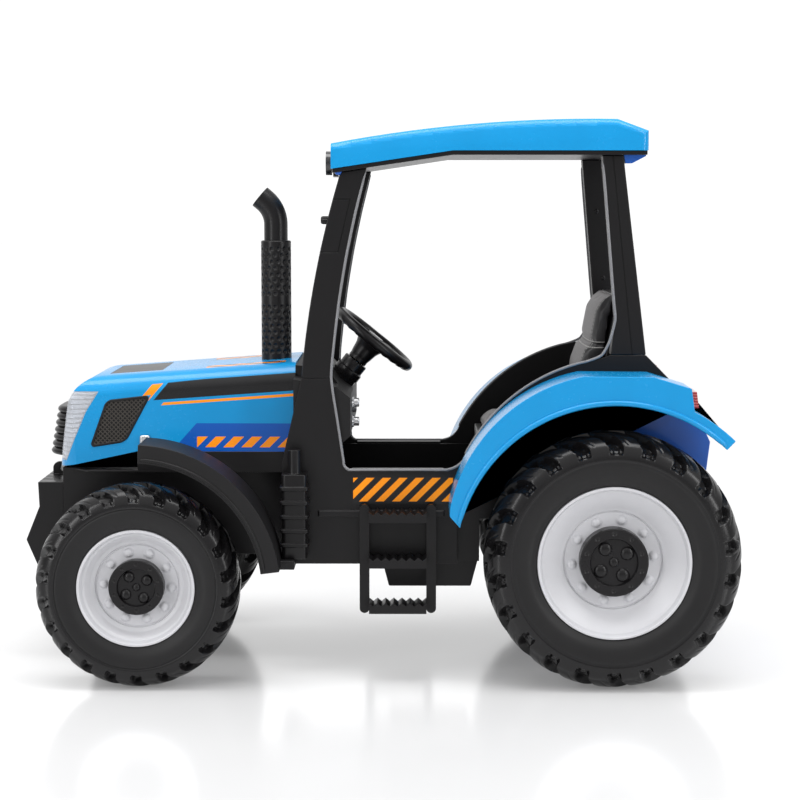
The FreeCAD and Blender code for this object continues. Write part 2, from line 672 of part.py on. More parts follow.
def front_weights():
    """A stack of front weights in one casting, grooved between the plates, with a tow eye on top."""
    body = new_body("weight_block")
    rear = "frame_front_x"
    pad(body, outline(body, "XZ_Plane", [
        (rear, "weights_low_z"),
        ("weights_brow_x", "weights_low_z"),
        ("weights_nose_x", "weights_nose_z"),
        ("weights_waist_x", "weights_waist_z"),
        ("weights_brow_x", "weights_top_z"),
        (rear, "weights_top_z")]), "2 * weights_half", symmetric=True)
    for index in range(int(number("weights_groove_count"))):
        middle = f"(2 * weights_half * ({index} + 1) / (weights_groove_count + 1) - weights_half)"
        pocket(body, outline(body, "YZ_Plane", [
            (f"{middle} - weights_groove / 2", "weights_low_z - overrun"),
            (f"{middle} + weights_groove / 2", "weights_low_z - overrun"),
            (f"{middle} + weights_groove / 2", "weights_top_z + overrun"),
            (f"{middle} - weights_groove / 2", "weights_top_z + overrun")], "weights_nose_x"),
            "weights_nose_x - weights_waist_x + weights_groove_depth")
    eye_x, eye_z = f"{rear} + tow_eye_length / 2", "weights_top_z + tow_eye_height / 2"
    pad(body, outline(body, "XZ_Plane", [
        (rear, "weights_top_z - overrun"),
        (f"{rear} + tow_eye_length", "weights_top_z - overrun"),
        (f"{rear} + tow_eye_length", eye_z, "tow_eye_height / 2"),
        (f"{rear} + tow_eye_length - tow_eye_height / 2", "weights_top_z + tow_eye_height"),
        (f"{rear} + tow_eye_height / 2", "weights_top_z + tow_eye_height", "tow_eye_height / 2"),
        (rear, eye_z)]), "tow_eye_thick", symmetric=True)
    pocket(body, rings(body, "XZ_Plane", [(eye_x, eye_z)], "tow_eye_bore"))
    return body


def belly_tray():
    """A tray with slanted ends under the floor, open at the top, which holds the battery."""
    body = new_body("tray_shell")
    pad(body, outline(body, "XZ_Plane", [
        ("tray_rear_x + tray_slant", "tray_low_z"),
        ("tray_front_x - tray_slant", "tray_low_z"),
        ("tray_front_x", "frame_floor_z"),
        ("tray_rear_x", "frame_floor_z")]), "2 * tray_half", symmetric=True)
    pocket(body, outline(body, "XY_Plane", [
        ("tray_rear_x + tray_slant + wall", "wall - tray_half"),
        ("tray_front_x - tray_slant - wall", "wall - tray_half"),
        ("tray_front_x - tray_slant - wall", "tray_half - wall"),
        ("tray_rear_x + tray_slant + wall", "tray_half - wall")], "frame_floor_z"),
        "frame_floor_z - tray_low_z - wall")
    return body


def gearmotor():
    """A closed gear case round the axle, with a round motor can along its front."""
    case = new_body("gear_case")
    pad(case, outline(case, "XZ_Plane", [
        ("motor_rear_x", "motor_low_z"),
        ("rear_axle_x", "motor_low_z"),
        ("motor_front_x", "motor_nose_z"),
        ("motor_front_x", "deck_z"),
        ("motor_rear_x", "deck_z")], "-motor_outer_y"), "motor_outer_y - motor_inner_y")
    can_radius = "(deck_z - motor_nose_z) / 2"
    can = rod(can_radius, "motor_inner_y - wall", f"motor_front_x - {can_radius}", "wall",
              f"deck_z - {can_radius}", *TO_LEFT)
    bore = rod("rear_axle_radius + running_gap", "2 * motor_outer_y",
               "rear_axle_x", "0", "rear_tyre_radius", *TO_LEFT)
    return cut(joined(case, can), bore)


def tail_form(inset, past):
    """The tail cover's side outline, drawn in by a wall, and carried past its open front."""
    body = new_body("tail_form")
    pad(body, outline(body, "XZ_Plane", [
        (f"pan_rear_x + {past}", f"tail_low_z + {inset}"),
        (f"pan_rear_x + {past}", f"tail_top_z - {inset}"),
        (f"tail_brow_x + {inset}", f"tail_top_z - {inset}"),
        (f"tail_rear_x + {inset}", "tail_rear_z"),
        (f"tail_low_x + {inset}", f"tail_low_z + {inset}")]), f"2 * (tail_half - {inset})", symmetric=True)
    return body


def tow_hitch(tail):
    """Two plates with a pin hole through both, on a back plate that is shaped to the tail's face."""
    upright = block("hitch_plate", "hitch_width", "2 * hitch_plate + hitch_gap + 2 * hitch_gap",
                    "tail_low_x - hitch_plate", "-hitch_width / 2", "hitch_z - hitch_gap")
    jaws = [block("hitch_length", "hitch_width", "hitch_plate",
                  "tail_low_x - hitch_length", "-hitch_width / 2", z)
            for z in ("hitch_z", "hitch_z + hitch_plate + hitch_gap")]
    bore = rod("hitch_bore", "2 * hitch_plate + hitch_gap + 2 * overrun",
               "tail_low_x - hitch_length + hitch_width / 4", "0", "hitch_z - overrun")
    return cut(joined(upright, *jaws), bore, tail)


keep("floor_pan", floor_pan())
keep("foot_pedal", foot_pedal())
keep("front_frame", front_frame())
keep("front_weights", front_weights())
keep("belly_tray", belly_tray())
keep("battery", block("battery_length", "battery_width", "battery_height",
                      "(tray_front_x + tray_rear_x - battery_length) / 2", "-battery_width / 2",
                      "tray_low_z + wall"))
motor = gearmotor()
keep("gearmotors", group(motor, mirrored(motor)))
axle_half = "(track_half + rear_rim_width / 2 - rear_disc_depth + axle_end)"
keep("rear_axle", rod("rear_axle_radius", f"2 * {axle_half}", "rear_axle_x", f"-{axle_half}",
                      "rear_tyre_radius", *TO_LEFT))
tail = tail_form("0", "0")
keep("rear_panel", cut(tail, tail_form("wall", "overrun")))
keep("tow_hitch", tow_hitch(tail))

# Cab: side panels with the door openings, posts, roof and fenders
side_panels_sizes = {
    "cab_half": 230, "cowl_low_z": 400, "cowl_seam_z": 557, "cowl_front_x": 135, "door_front_x": 80,
    "door_foot_x": 58, "door_corner": 14, "sill_rear_x": -128, "sill_sweep": 44, "arch_wall_x": -168,
    "arch_wall_z": 420, "arch_wall_radius": 330, "arch_wall_top_x": -412, "arch_wall_top_z": 593,
    "post_seam_z": 600, "post_seam_front_x": -432, "post_seam_rear_x": -497, "panel_rear_x": -560,
    "panel_rear_z": 536, "arch_radius": 284, "arch_front_angle": 10, "arch_rear_angle": 131,
    "ledge_z": 302, "ledge_height": 10, "ledge_out": 6,
}
sizes(side_panels_sizes)
posts_sizes = {
    "post_depth": 36, "front_post_top_x": 62, "front_post_width": 48, "post_bow": 1850,
    "rear_post_waist_x": -440, "rear_post_waist_z": 665, "rear_post_top_x": -414,
    "rear_post_top_width": 38,
}
sizes(posts_sizes)
roof_sizes = {
    "roof_half": 245, "roof_front_x": 79, "roof_front_low_z": 939, "roof_front_high_z": 985,
    "roof_bend_x": -142, "roof_low_z": 972, "roof_rear_x": -497, "roof_rear_high_z": 1008,
    "roof_crown_x": -440, "roof_crown_z": 1029, "roof_bow": 2560, "roof_bevel": 14, "roof_skin": 8,
    "liner_thick": 8, "liner_margin": 3, "lamp_radius": 22, "lamp_thick": 11, "lamp_y": 178,
    "lamp_z": 950,
}
sizes(roof_sizes)
rear_fenders_sizes = {
    "fender_half": 345, "fender_inner": 285, "fender_crown": 342, "fender_foot": 308,
    "fender_tail": 307, "fender_sweep": 302, "foot_angle": 16, "foot_tip_angle": 13, "crown_angle": 80,
    "crown_back_angle": 101, "lamp_top_angle": 113, "lamp_low_angle": 117, "tail_angle": 134,
    "tail_lamp_thick": 9, "tail_lamp_margin": 8, "tail_lamp_share": 0.15,
}
sizes(rear_fenders_sizes)
front_fenders_sizes = {
    "mudguard_half": 345, "mudguard_radius": 262, "mudguard_skirt": 34, "mudguard_front_angle": 92,
    "mudguard_rear_angle": 173, "mudguard_foot_x": 150, "mudguard_foot_height": 16,
    "mudguard_foot_depth": 60,
}
sizes(front_fenders_sizes)
canisters_sizes = {
    "canister_front_x": 170, "canister_length": 46, "canister_depth": 42, "canister_height": 156,
    "canister_corner": 8, "canister_rib": 4, "canister_rib_height": 7, "canister_rib_count": 5,
    "spout_radius": 12.5, "spout_height": 44,
}
sizes(canisters_sizes)
side_steps_sizes = {
    "step_front_x": 28, "step_rail": 18, "step_span": 123, "step_top_z": 327, "step_low_z": 123,
    "step_rail_depth": 14, "step_tread_depth": 52, "tread_height": 20, "tread_tooth": 6,
    "tread_pitch_z": 84, "tread_tooth_count": 7,
}
sizes(side_steps_sizes)


def polar(end, radius, angle):
    """A corner at a radius and an angle round an axle, as seen from the tractor's side."""
    return (f"{end}_axle_x + ({radius}) * cos({angle})", f"{end}_tyre_radius + ({radius}) * sin({angle})")


def side_panel():
    """Cowl side, sill and inner wheel arch in one panel, cut low for the door."""
    body = new_body("side_skin")
    outer = "-cab_half"
    pad(body, outline(body, "XZ_Plane", [
        ("pan_front_x", "frame_floor_z"),
        ("pan_front_x", "cowl_low_z"),
        ("cowl_front_x", "cowl_seam_z"),
        ("door_front_x", "cowl_seam_z"),
        ("door_foot_x", "sill_z + door_corner", "-door_corner"),
        ("door_foot_x - door_corner", "sill_z"),
        ("sill_rear_x", "sill_z", "-sill_sweep"),
        ("arch_wall_x", "arch_wall_z", "arch_wall_radius"),
        ("arch_wall_top_x", "arch_wall_top_z"),
        ("post_seam_front_x", "post_seam_z"),
        ("post_seam_rear_x", "post_seam_z"),
        ("panel_rear_x", "panel_rear_z"),
        (*polar("rear", "arch_radius", "arch_rear_angle"), "-arch_radius"),
        polar("rear", "arch_radius", "arch_front_angle"),
        ("rear_axle_x + arch_radius * cos(arch_front_angle)", "frame_floor_z")], outer), "wall")
    inward = "cab_half - pan_half - wall"
    sill_front, rear = "door_foot_x - door_corner", "rear_axle_x + arch_radius * cos(arch_front_angle)"
    flange = block(f"{sill_front} - sill_rear_x", inward, "wall", "sill_rear_x", "pan_half", "sill_z - wall")
    lip = block(f"pan_front_x - ({rear})", inward, "wall", rear, "pan_half", "frame_floor_z")
    ledge = block("mudguard_foot_x - canister_length - sill_rear_x", "ledge_out", "ledge_height",
                  "sill_rear_x", "cab_half", "ledge_z")
    return joined(body, flange, lip, ledge)


def roof_low(x):
    """The height of the roof's lower edge at a place on its front slope."""
    return (f"(roof_low_z - ({x} - roof_bend_x) * (roof_low_z - roof_front_low_z)"
            " / (roof_front_x - roof_bend_x))")


def front_post():
    """A bowed post from the cowl to the roof, wider at the foot."""
    body = new_body("front_post")
    top_rear = "front_post_top_x - front_post_width"
    pad(body, outline(body, "XZ_Plane", [
        ("door_front_x", "cowl_seam_z"),
        ("cowl_front_x", "cowl_seam_z", "post_bow"),
        ("front_post_top_x", f"{roof_low('front_post_top_x')} - liner_thick"),
        (top_rear, f"{roof_low(f'({top_rear})')} - liner_thick", "-post_bow")], "-cab_half"), "post_depth")
    return body


def rear_post():
    body = new_body("rear_post")
    top = "roof_low_z - liner_thick"
    pad(body, outline(body, "XZ_Plane", [
        ("post_seam_rear_x", "post_seam_z"),
        ("post_seam_front_x", "post_seam_z"),
        ("rear_post_waist_x", "rear_post_waist_z"),
        ("rear_post_top_x", top),
        ("rear_post_top_x - rear_post_top_width", top)], "-cab_half"), "post_depth")
    return body


def roof_form(inset, below):
    """The roof's side outline, drawn in from the top and ends, and carried on below its edge."""
    body = new_body("roof_form")
    side = outline(body, "XZ_Plane", [
        (f"roof_rear_x + {inset}", f"roof_low_z - {below}"),
        ("roof_bend_x", f"roof_low_z - {below}"),
        (f"roof_front_x - {inset}", f"roof_front_low_z - {below}"),
        (f"roof_front_x - {inset}", f"roof_front_high_z - {inset}", "roof_bow"),
        ("roof_crown_x", f"roof_crown_z - {inset}"),
        (f"roof_rear_x + {inset}", f"roof_rear_high_z - {inset}")])
    return body, pad(body, side, f"2 * (roof_half - {inset})", symmetric=True)


def roof():
    """A shallow lid, hollow from below, with rolled upper edges and rounded corners."""
    body, solid = roof_form("0", "0")
    doc.recompute()
    upper = []
    for index, edge in enumerate(solid.Shape.Edges):
        middle = edge.CenterOfMass
        lengthwise = abs(abs(middle.y) - number("roof_half")) < number("running_gap")
        if lengthwise and middle.z > number("(roof_front_high_z + roof_low_z) / 2"):
            upper.append(f"Edge{index + 1}")
    roll = body.newObject("PartDesign::Fillet", "roll")
    roll.Base = (solid, upper)
    roll.setExpression("Radius", bound("roof_bevel"))
    body.Tip = roll
    hollow, _ = roof_form("roof_skin", "overrun")
    return cut(body, hollow)


def roof_liner():
    body = new_body("roof_liner")
    front, rear = "(roof_front_x - liner_margin)", "(roof_rear_x + liner_margin)"
    pad(body, outline(body, "XZ_Plane", [
        (rear, "roof_low_z - liner_thick"),
        ("roof_bend_x", "roof_low_z - liner_thick"),
        (front, f"{roof_low(front)} - liner_thick"),
        (front, roof_low(front)),
        ("roof_bend_x", "roof_low_z"),
        (rear, "roof_low_z")]), "2 * (roof_half - liner_margin)", symmetric=True)
    return body


def fender_outline(inset, drop):
    """The rear fender's outline round the axle, drawn in at its outer edge and let down at its inner."""
    inner = f"fender_inner - {drop}"
    return [
        polar("rear", f"fender_foot - {inset}", "foot_angle"),
        (*polar("rear", f"fender_foot + wall - {inset}", "2 * foot_angle - foot_tip_angle"),
         f"fender_sweep - {inset}"),
        polar("rear", f"fender_crown - {inset}", "crown_angle"),
        polar("rear", f"fender_crown - {inset}", "crown_back_angle"),
        polar("rear", f"fender_crown - {inset}", "lamp_top_angle"),
        (*polar("rear", f"fender_tail - {inset}", "lamp_low_angle"), f"fender_tail - {inset}"),
        polar("rear", f"fender_tail - {inset}", "tail_angle"),
        (*polar("rear", inner, "tail_angle"), f"-({inner})"),
        polar("rear", inner, "foot_tip_angle")]


def rear_fender():
    """An arched plate from the cab wall outwards, with a skirt along its outer edge."""
    body = new_body("rear_fender")
    pad(body, outline(body, "XZ_Plane", fender_outline("0", "0"), "-fender_half"), "fender_half - cab_half")
    pocket(body, outline(body, "XZ_Plane", fender_outline("wall", "overrun"), "wall - fender_half"),
           "fender_half - cab_half", back=True)
    return body


def tail_lamp():
    """A lens on the fender's upright rear face."""
    body = new_body("tail_lamp")
    top = polar("rear", "fender_crown", "lamp_top_angle")
    low = polar("rear", "fender_tail", "lamp_low_angle")

    def on_face(share):
        return tuple(f"{a} + ({b} - ({a})) * ({share})" for a, b in zip(top, low))
    high, base = on_face("tail_lamp_share"), on_face("1 - tail_lamp_share")
    pad(body, outline(body, "XZ_Plane", [
        base, high,
        (f"{high[0]} - tail_lamp_thick", high[1]),
        (f"{base[0]} - tail_lamp_thick", base[1])], "tail_lamp_margin - fender_half"),
        "fender_half - cab_half - 2 * tail_lamp_margin")
    return body


def front_fender():
    """A mudguard over the rear half of the front wheel: a plate, an outer skirt and a foot."""
    body = new_body("mudguard")
    inner = "mudguard_radius - mudguard_skirt"

    def band(inset, low):
        return [
            (*polar("front", f"mudguard_radius - {inset}", "mudguard_front_angle"),
             f"mudguard_radius - {inset}"),
            polar("front", f"mudguard_radius - {inset}", "mudguard_rear_angle"),
            (*polar("front", low, "mudguard_rear_angle"), f"-({low})"),
            polar("front", low, "mudguard_front_angle")]
    pad(body, outline(body, "XZ_Plane", band("0", inner), "-mudguard_half"), "mudguard_half - cab_half")
    pocket(body, outline(body, "XZ_Plane", band("wall", f"{inner} - overrun"), "wall - mudguard_half"),
           "mudguard_half", back=True)
    foot_front = "front_axle_x + (mudguard_radius - wall) * cos(mudguard_rear_angle)"
    foot = block(f"{foot_front} - mudguard_foot_x + wall", "mudguard_foot_depth", "mudguard_foot_height",
                 "mudguard_foot_x - wall", "cab_half", "frame_floor_z")
    return joined(body, foot)


def canister():
    """A ribbed air cleaner box that stands on the mudguard's foot against the cowl, with a spout."""
    body = new_body("canister")
    base_z = "frame_floor_z + mudguard_foot_height"

    def plan(grow, lift):
        rear, front = f"canister_front_x - canister_length - {grow}", f"canister_front_x + {grow}"
        outside = f"cab_half + canister_depth + {grow}"
        corner = "canister_corner"
        return outline(body, "XY_Plane", [
            (rear, "cab_half"),
            (front, "cab_half"),
            (front, f"{outside} - {corner}", corner),
            (f"{front} - {corner}", outside),
            (f"{rear} + {corner}", outside, corner),
            (rear, f"{outside} - {corner}")], lift)
    pad(body, plan("0", base_z), "canister_height")
    for index in range(int(number("canister_rib_count"))):
        middle = f"{base_z} + canister_height * ({index} + 1) / (canister_rib_count + 1)"
        pad(body, plan("canister_rib", f"{middle} - canister_rib_height / 2"), "canister_rib_height")
    spout = ("canister_front_x - canister_length / 2", "cab_half + canister_depth / 2")
    pad(body, rings(body, "XY_Plane", [spout], "spout_radius", f"{base_z} + canister_height"), "spout_height")
    return body


def side_step():
    """Two rails that hang from the sill's ledge, with toothed treads between them."""
    near_y = "cab_half + ledge_out"
    rear_x = "step_front_x - step_span - step_rail / 2"
    body = new_body("side_step")

    def rail(front):
        return outline(body, "XZ_Plane", [
            (f"{front} - step_rail", "step_low_z + step_rail / 2", "step_rail / 2 + running_gap"),
            (front, "step_low_z + step_rail / 2"),
            (front, "step_top_z - step_rail / 2", "step_rail / 2 + running_gap"),
            (f"{front} - step_rail", "step_top_z - step_rail / 2")], f"-({near_y} + step_rail_depth)")
    for front in ("step_front_x", "step_front_x - step_span"):
        pad(body, rail(front), "step_rail_depth")
    count = int(number("tread_tooth_count"))
    for level in range(3):
        low = f"step_top_z - tread_height - step_rail / 2 - {level} * tread_pitch_z"
        corners = [("step_front_x - step_span", low), ("step_front_x - step_rail", low)]
        for tooth in range(count):
            for part, rise in ((0, "0"), (0.5, "tread_tooth")):
                along = f"(step_span - step_rail) * {(tooth + part) / count}"
                corners.append((f"step_front_x - step_rail - {along}", f"{low} + tread_height - {rise}"))
        corners.append(("step_front_x - step_span", f"{low} + tread_height"))
        pad(body, outline(body, "XZ_Plane", corners, f"-({near_y} + step_tread_depth)"), "step_tread_depth")
    return body


keep_pair("side_panel", side_panel())
keep_pair("front_post", front_post())
keep_pair("rear_post", rear_post())
keep("roof", roof())
keep("roof_liner", roof_liner())
lamp = rod("lamp_radius", "lamp_thick", "roof_front_x", "lamp_y", "lamp_z", (0, 1, 0), "90")
keep("roof_lamps", group(lamp, mirrored(lamp)))
keep_pair("rear_fender", rear_fender())
keep_pair("front_fender", front_fender())
lens = tail_lamp()
keep("tail_lamps", group(lens, mirrored(lens)))
box = canister()
keep("canisters", group(box, mirrored(box)))
step = side_step()
keep("side_steps", group(step, mirrored(step)))

# Hood: one shell, with the grilles, vent and headlights let into its wall
hood_inserts_sizes = {
    "grille_half": 84, "grille_low_z": 394, "grille_high_z": 490, "grille_bar_count": 7,
    "grille_bar": 6.5, "light_inner_y": 90, "light_top_x": 520, "light_top_z": 525, "light_bend_x": 544,
    "light_bend_z": 487, "light_low_x": 584, "light_low_z": 393, "mesh_top_front_x": 506,
    "mesh_top_front_z": 509, "mesh_top_rear_x": 421, "mesh_top_rear_z": 519, "mesh_low_rear_x": 469,
    "mesh_low_rear_z": 430, "mesh_low_front_x": 538, "mesh_low_front_z": 419, "mesh_inner_y": 120,
    "vent_rear_x": 406, "vent_front_x": 507, "vent_half": 92,
}
sizes(hood_inserts_sizes)
exhaust_sizes = {
    "exhaust_x": 195, "sleeve_radius": 29, "sleeve_wall": 3, "sleeve_top_z": 805, "pipe_radius": 22.8,
    "pipe_wall": 2.5, "pipe_bend_z": 836, "pipe_bend_radius": 60, "pipe_bend_angle": 50,
    "pipe_mouth": 12,
}
sizes(exhaust_sizes)


def hood_form(inset, past):
    """The hood as the space that its side, its sections and its plan share, drawn in by a wall."""
    side = new_body("hood_side")
    pad(side, outline(side, "XZ_Plane", [
        (f"hood_rear_x - {past}", f"hood_low_z - {past}"),
        ("hood_kink_x", f"hood_low_z - {past}"),
        (f"hood_nose_x - {inset}", f"hood_nose_low_z - {past}"),
        (f"brow_x - {inset}", "brow_z", f"brow_radius - {inset}"),
        ("brow_back_x", f"brow_back_z - {inset}"),
        (f"hood_rear_x - {past}", f"hood_top_z - {inset}")]), "2 * hood_half", symmetric=True)

    section = new_body("hood_section")

    def ring(half, top, x):
        upper = f"({half} - hood_lean - {inset})"
        return outline(section, "YZ_Plane", [
            (f"-({half} - {inset})", "flange_z - overrun"),
            (f"{half} - {inset}", "flange_z - overrun"),
            (upper, f"{top} - hood_shoulder", f"hood_shoulder - {inset}"),
            (f"{upper} - hood_shoulder + {inset}", f"{top} - {inset}"),
            (f"hood_shoulder - {inset} - {upper}", f"{top} - {inset}", f"hood_shoulder - {inset}"),
            (f"-{upper}", f"{top} - hood_shoulder")], x)
    loft = section.newObject("PartDesign::AdditiveLoft", "loft")
    loft.Profile = ring("hood_half", "hood_top_z", f"hood_rear_x - {past}")
    loft.Sections = [(ring("hood_nose_half", "hood_top_nose_z", "hood_nose_x + overrun"), [""])]
    loft.Ruled = True

    plan = new_body("hood_plan")
    half = f"hood_half - {inset}"
    corner, nose = f"nose_corner - {inset}", f"hood_nose_x - {inset}"
    pad(plan, outline(plan, "XY_Plane", [
        (f"hood_rear_x - {past}", f"-({half})"),
        (f"{nose} - ({corner})", f"-({half})", corner),
        (nose, f"{corner} - ({half})"),
        (nose, f"{half} - ({corner})", corner),
        (f"{nose} - ({corner})", half),
        (f"hood_rear_x - {past}", half)], "flange_z - overrun"), "hood_top_z - flange_z + 2 * overrun")
    return shared(side, section, plan)


def prism(name, corners, inner_y):
    """A block with a side outline, from a half width out past the hood's side."""
    body = new_body(name)
    pad(body, outline(body, "XZ_Plane", corners, "-(hood_half + overrun)"),
        f"hood_half + overrun - {inner_y}")
    return body


def nose_x(z):
    """Where the hood's sloping front face stands at a height."""
    return f"(hood_nose_x - ({z} - hood_nose_low_z) * (hood_nose_x - brow_x) / (brow_z - hood_nose_low_z))"


def front_grille():
    """A plate let into the nose, with round bars across it that stand proud."""
    body = new_body("front_grille")
    width = "2 * (grille_half - seat_gap)"
    low, high = "grille_low_z + seat_gap", "grille_high_z - seat_gap"
    pad(body, outline(body, "XZ_Plane", [
        (f"{nose_x(f'({low})')} - wall", low),
        (nose_x(f"({low})"), low),
        (nose_x(f"({high})"), high),
        (f"{nose_x(f'({high})')} - wall", high)]), width, symmetric=True)
    count = int(number("grille_bar_count"))
    bars = []
    for index in range(count):
        z = f"(grille_low_z + (grille_high_z - grille_low_z) * ({index} + 0.5) / grille_bar_count)"
        bars.append((nose_x(z), z))
    pad(body, rings(body, "XZ_Plane", bars, "grille_bar"), width, symmetric=True)
    return body


def exhaust_pipe(hood):
    """A bent tube that stands on the hood and turns forward at its mouth."""
    body = new_body("pipe")
    spine = sketch_on(body, "XZ_Plane")
    base, bend = "hood_low_z", "pipe_bend_radius"
    turn = "pipe_bend_angle"
    top = (f"exhaust_x + {bend} * (1 - cos({turn}))", f"pipe_bend_z + {bend} * sin({turn})")
    mouth = (f"{top[0]} + pipe_mouth * sin({turn})", f"{top[1]} + pipe_mouth * cos({turn})")
    spots = [FreeCAD.Vector(number(x), number(z), 0) for x, z in
             (("exhaust_x", base), ("exhaust_x", "pipe_bend_z"), top, mouth)]
    spine.addGeometry(Part.LineSegment(spots[0], spots[1]))
    spine.addGeometry(arc_between(spots[1], spots[2], -number(bend)))
    spine.addGeometry(Part.LineSegment(spots[2], spots[3]))
    spine.addConstraint(Sketcher.Constraint("Coincident", 0, 2, 1, 2))
    spine.addConstraint(Sketcher.Constraint("Coincident", 1, 1, 2, 1))
    for (x, z), target in ((("exhaust_x", base), (0, 1)), (("exhaust_x", "pipe_bend_z"), (0, 2)),
                           (top, (2, 1)), (mouth, (2, 2))):
        hold(spine, "DistanceX", x, -1, 1, *target)
        hold(spine, "DistanceY", z, -1, 1, *target)
    hold(spine, "Radius", bend, 1)
    for radius, kind in (("pipe_radius", "AdditivePipe"), ("pipe_radius - pipe_wall", "SubtractivePipe")):
        sweep = body.newObject(f"PartDesign::{kind}", "sweep")
        sweep.Profile = rings(body, "XY_Plane", [("exhaust_x", "0")], radius, base)
        sweep.Spine = (spine, ["Edge1", "Edge2", "Edge3"])
    return cut(body, hood)


hood_solid = hood_form("0", "0")
hood_shell = cut(hood_solid, hood_form("wall", "overrun"))
light = prism("light_space", [
    ("light_top_x", "light_top_z"),
    ("light_bend_x", "light_bend_z"),
    ("light_low_x", "light_low_z"),
    ("hood_nose_x + overrun", "light_low_z"),
    ("hood_nose_x + overrun", "light_top_z")], "light_inner_y")
mesh = prism("mesh_space", [
    ("mesh_top_front_x", "mesh_top_front_z"),
    ("mesh_top_rear_x", "mesh_top_rear_z"),
    ("mesh_low_rear_x", "mesh_low_rear_z"),
    ("mesh_low_front_x", "mesh_low_front_z")], "mesh_inner_y")
vent = block("vent_front_x - vent_rear_x", "2 * vent_half", "hood_shoulder + overrun",
             "vent_rear_x", "-vent_half",
             "hood_top_z - hood_shoulder")
opening = block("hood_nose_x - brow_back_x + overrun", "2 * grille_half", "grille_high_z - grille_low_z",
                "brow_back_x", "-grille_half", "grille_low_z")
lights = [shared(hood_shell, light), mirrored(shared(hood_shell, light))]
meshes = [shared(hood_shell, mesh), mirrored(shared(hood_shell, mesh))]
keep("hood", cut(hood_shell, light, mirrored(light), mesh, mirrored(mesh), vent, opening))
keep("hood_vent", shared(hood_shell, vent))
keep("front_grille", front_grille())
keep("side_grilles", group(*meshes))
keep("headlights", group(*lights))
sleeve = cut(rod("sleeve_radius", "sleeve_top_z - hood_low_z", "exhaust_x", "0", "hood_low_z"),
             rod("sleeve_radius - sleeve_wall", "sleeve_top_z", "exhaust_x", "0", "0"))
keep("exhaust_sleeve", cut(sleeve, hood_solid))
keep("exhaust_pipe", exhaust_pipe(hood_solid))

# Driver's place: dashboard, controls and seat
dashboard_sizes = {
    "dash_rear_x": 45, "dash_brow_x": 70, "dash_brow_z": 540, "dash_top_z": 555, "dash_face_top_z": 520,
    "dash_face_low_z": 450, "dash_foot_x": 95, "dash_low_z": 406, "cowl_hump_x": 92, "cowl_hump_z": 568,
    "cowl_hump_half": 150, "collar_radius": 18, "collar_top": 55, "collar_length": 58,
    "shaft_clearance": 2,
}
sizes(dashboard_sizes)
controls_sizes = {
    "start_y": 70, "start_z": 488, "start_radius": 10, "start_length": 15, "start_proud": 7,
    "lever_x": 105, "lever_y": -174, "lever_z": 545, "lever_barrel": 12, "lever_barrel_length": 30,
    "lever_stick": 5, "lever_height": 66, "lever_knob": 12,
}
sizes(controls_sizes)
seat_sizes = {
    "seat_half": 150, "seat_front_x": -196, "seat_front_z": 432, "seat_pan_rear_x": -388,
    "seat_pan_rear_z": 420, "seat_back_low_x": -402, "seat_back_low_z": 436, "seat_back_top_x": -452,
    "seat_back_top_z": 704, "seat_shell": 20, "seat_rear_x": -470, "cushion_half": 140,
    "cushion_thick": 42, "cushion_crown": 9, "cushion_side": 70, "back_pad_half": 132,
    "back_pad_low_z": 480, "back_pad_top_z": 712, "back_pad_thick": 43, "back_pad_crown": 6,
}
sizes(seat_sizes)


def dashboard():
    """A hollow box across the cab, with a hump up to the hood and a collar round the column."""
    body = new_body("dash_box")
    pad(body, outline(body, "XZ_Plane", [
        ("dash_foot_x", "dash_low_z"),
        ("hood_rear_x", "dash_low_z"),
        ("hood_rear_x", "dash_top_z"),
        ("dash_brow_x", "dash_brow_z"),
        ("dash_rear_x", "dash_face_top_z"),
        ("dash_rear_x", "dash_face_low_z")]), "2 * (cab_half - wall)", symmetric=True)
    hump = new_body("cowl_hump")
    pad(hump, outline(hump, "XZ_Plane", [
        ("dash_brow_x", "dash_brow_z - wall"),
        ("hood_rear_x", "dash_brow_z - wall"),
        ("hood_rear_x", "hood_top_z - wall"),
        ("cowl_hump_x", "cowl_hump_z"),
        ("dash_brow_x", "dash_brow_z")]), "2 * cowl_hump_half", symmetric=True)
    inside = new_body("dash_inside")
    pad(inside, outline(inside, "XZ_Plane", [
        ("dash_foot_x + wall", "dash_low_z + wall"),
        ("hood_rear_x + overrun", "dash_low_z + wall"),
        ("hood_rear_x + overrun", "dash_top_z - 2 * wall"),
        ("dash_brow_x + wall", "dash_brow_z - 2 * wall"),
        ("dash_rear_x + wall", "dash_face_top_z - wall"),
        ("dash_rear_x + wall", "dash_face_low_z + wall")]), "2 * (cab_half - 2 * wall)", symmetric=True)
    collar = rod("collar_radius", "collar_length", *down_column("collar_top + collar_length"), *EDGE_ON)
    column = rod("shaft_radius + shaft_clearance", "shaft_length", *down_column("shaft_length"), *EDGE_ON)
    start = rod("start_radius + seat_gap", "start_length + overrun", "dash_rear_x - start_proud", "start_y",
                "start_z", (0, 1, 0), "90")
    trough = rod("lever_barrel + seat_gap", "lever_barrel_length + 2 * seat_gap", "lever_x",
                 "lever_y - lever_barrel_length / 2 - seat_gap", "lever_z", *TO_LEFT)
    return cut(joined(cut(joined(body, hump), inside), collar), column, start, trough)


def direction_lever():
    """A stick with a ball, on a round barrel that rocks in a trough on the dashboard."""
    barrel = rod("lever_barrel", "lever_barrel_length", "lever_x", "lever_y - lever_barrel_length / 2",
                 "lever_z", *TO_LEFT)
    stick = rod("lever_stick", "lever_height", "lever_x", "lever_y", "lever_z")
    knob = doc.addObject("Part::Sphere", "knob")
    knob.setExpression("Radius", bound("lever_knob"))
    place(knob, "lever_x", "lever_y", "lever_z + lever_height")
    return joined(barrel, stick, knob)


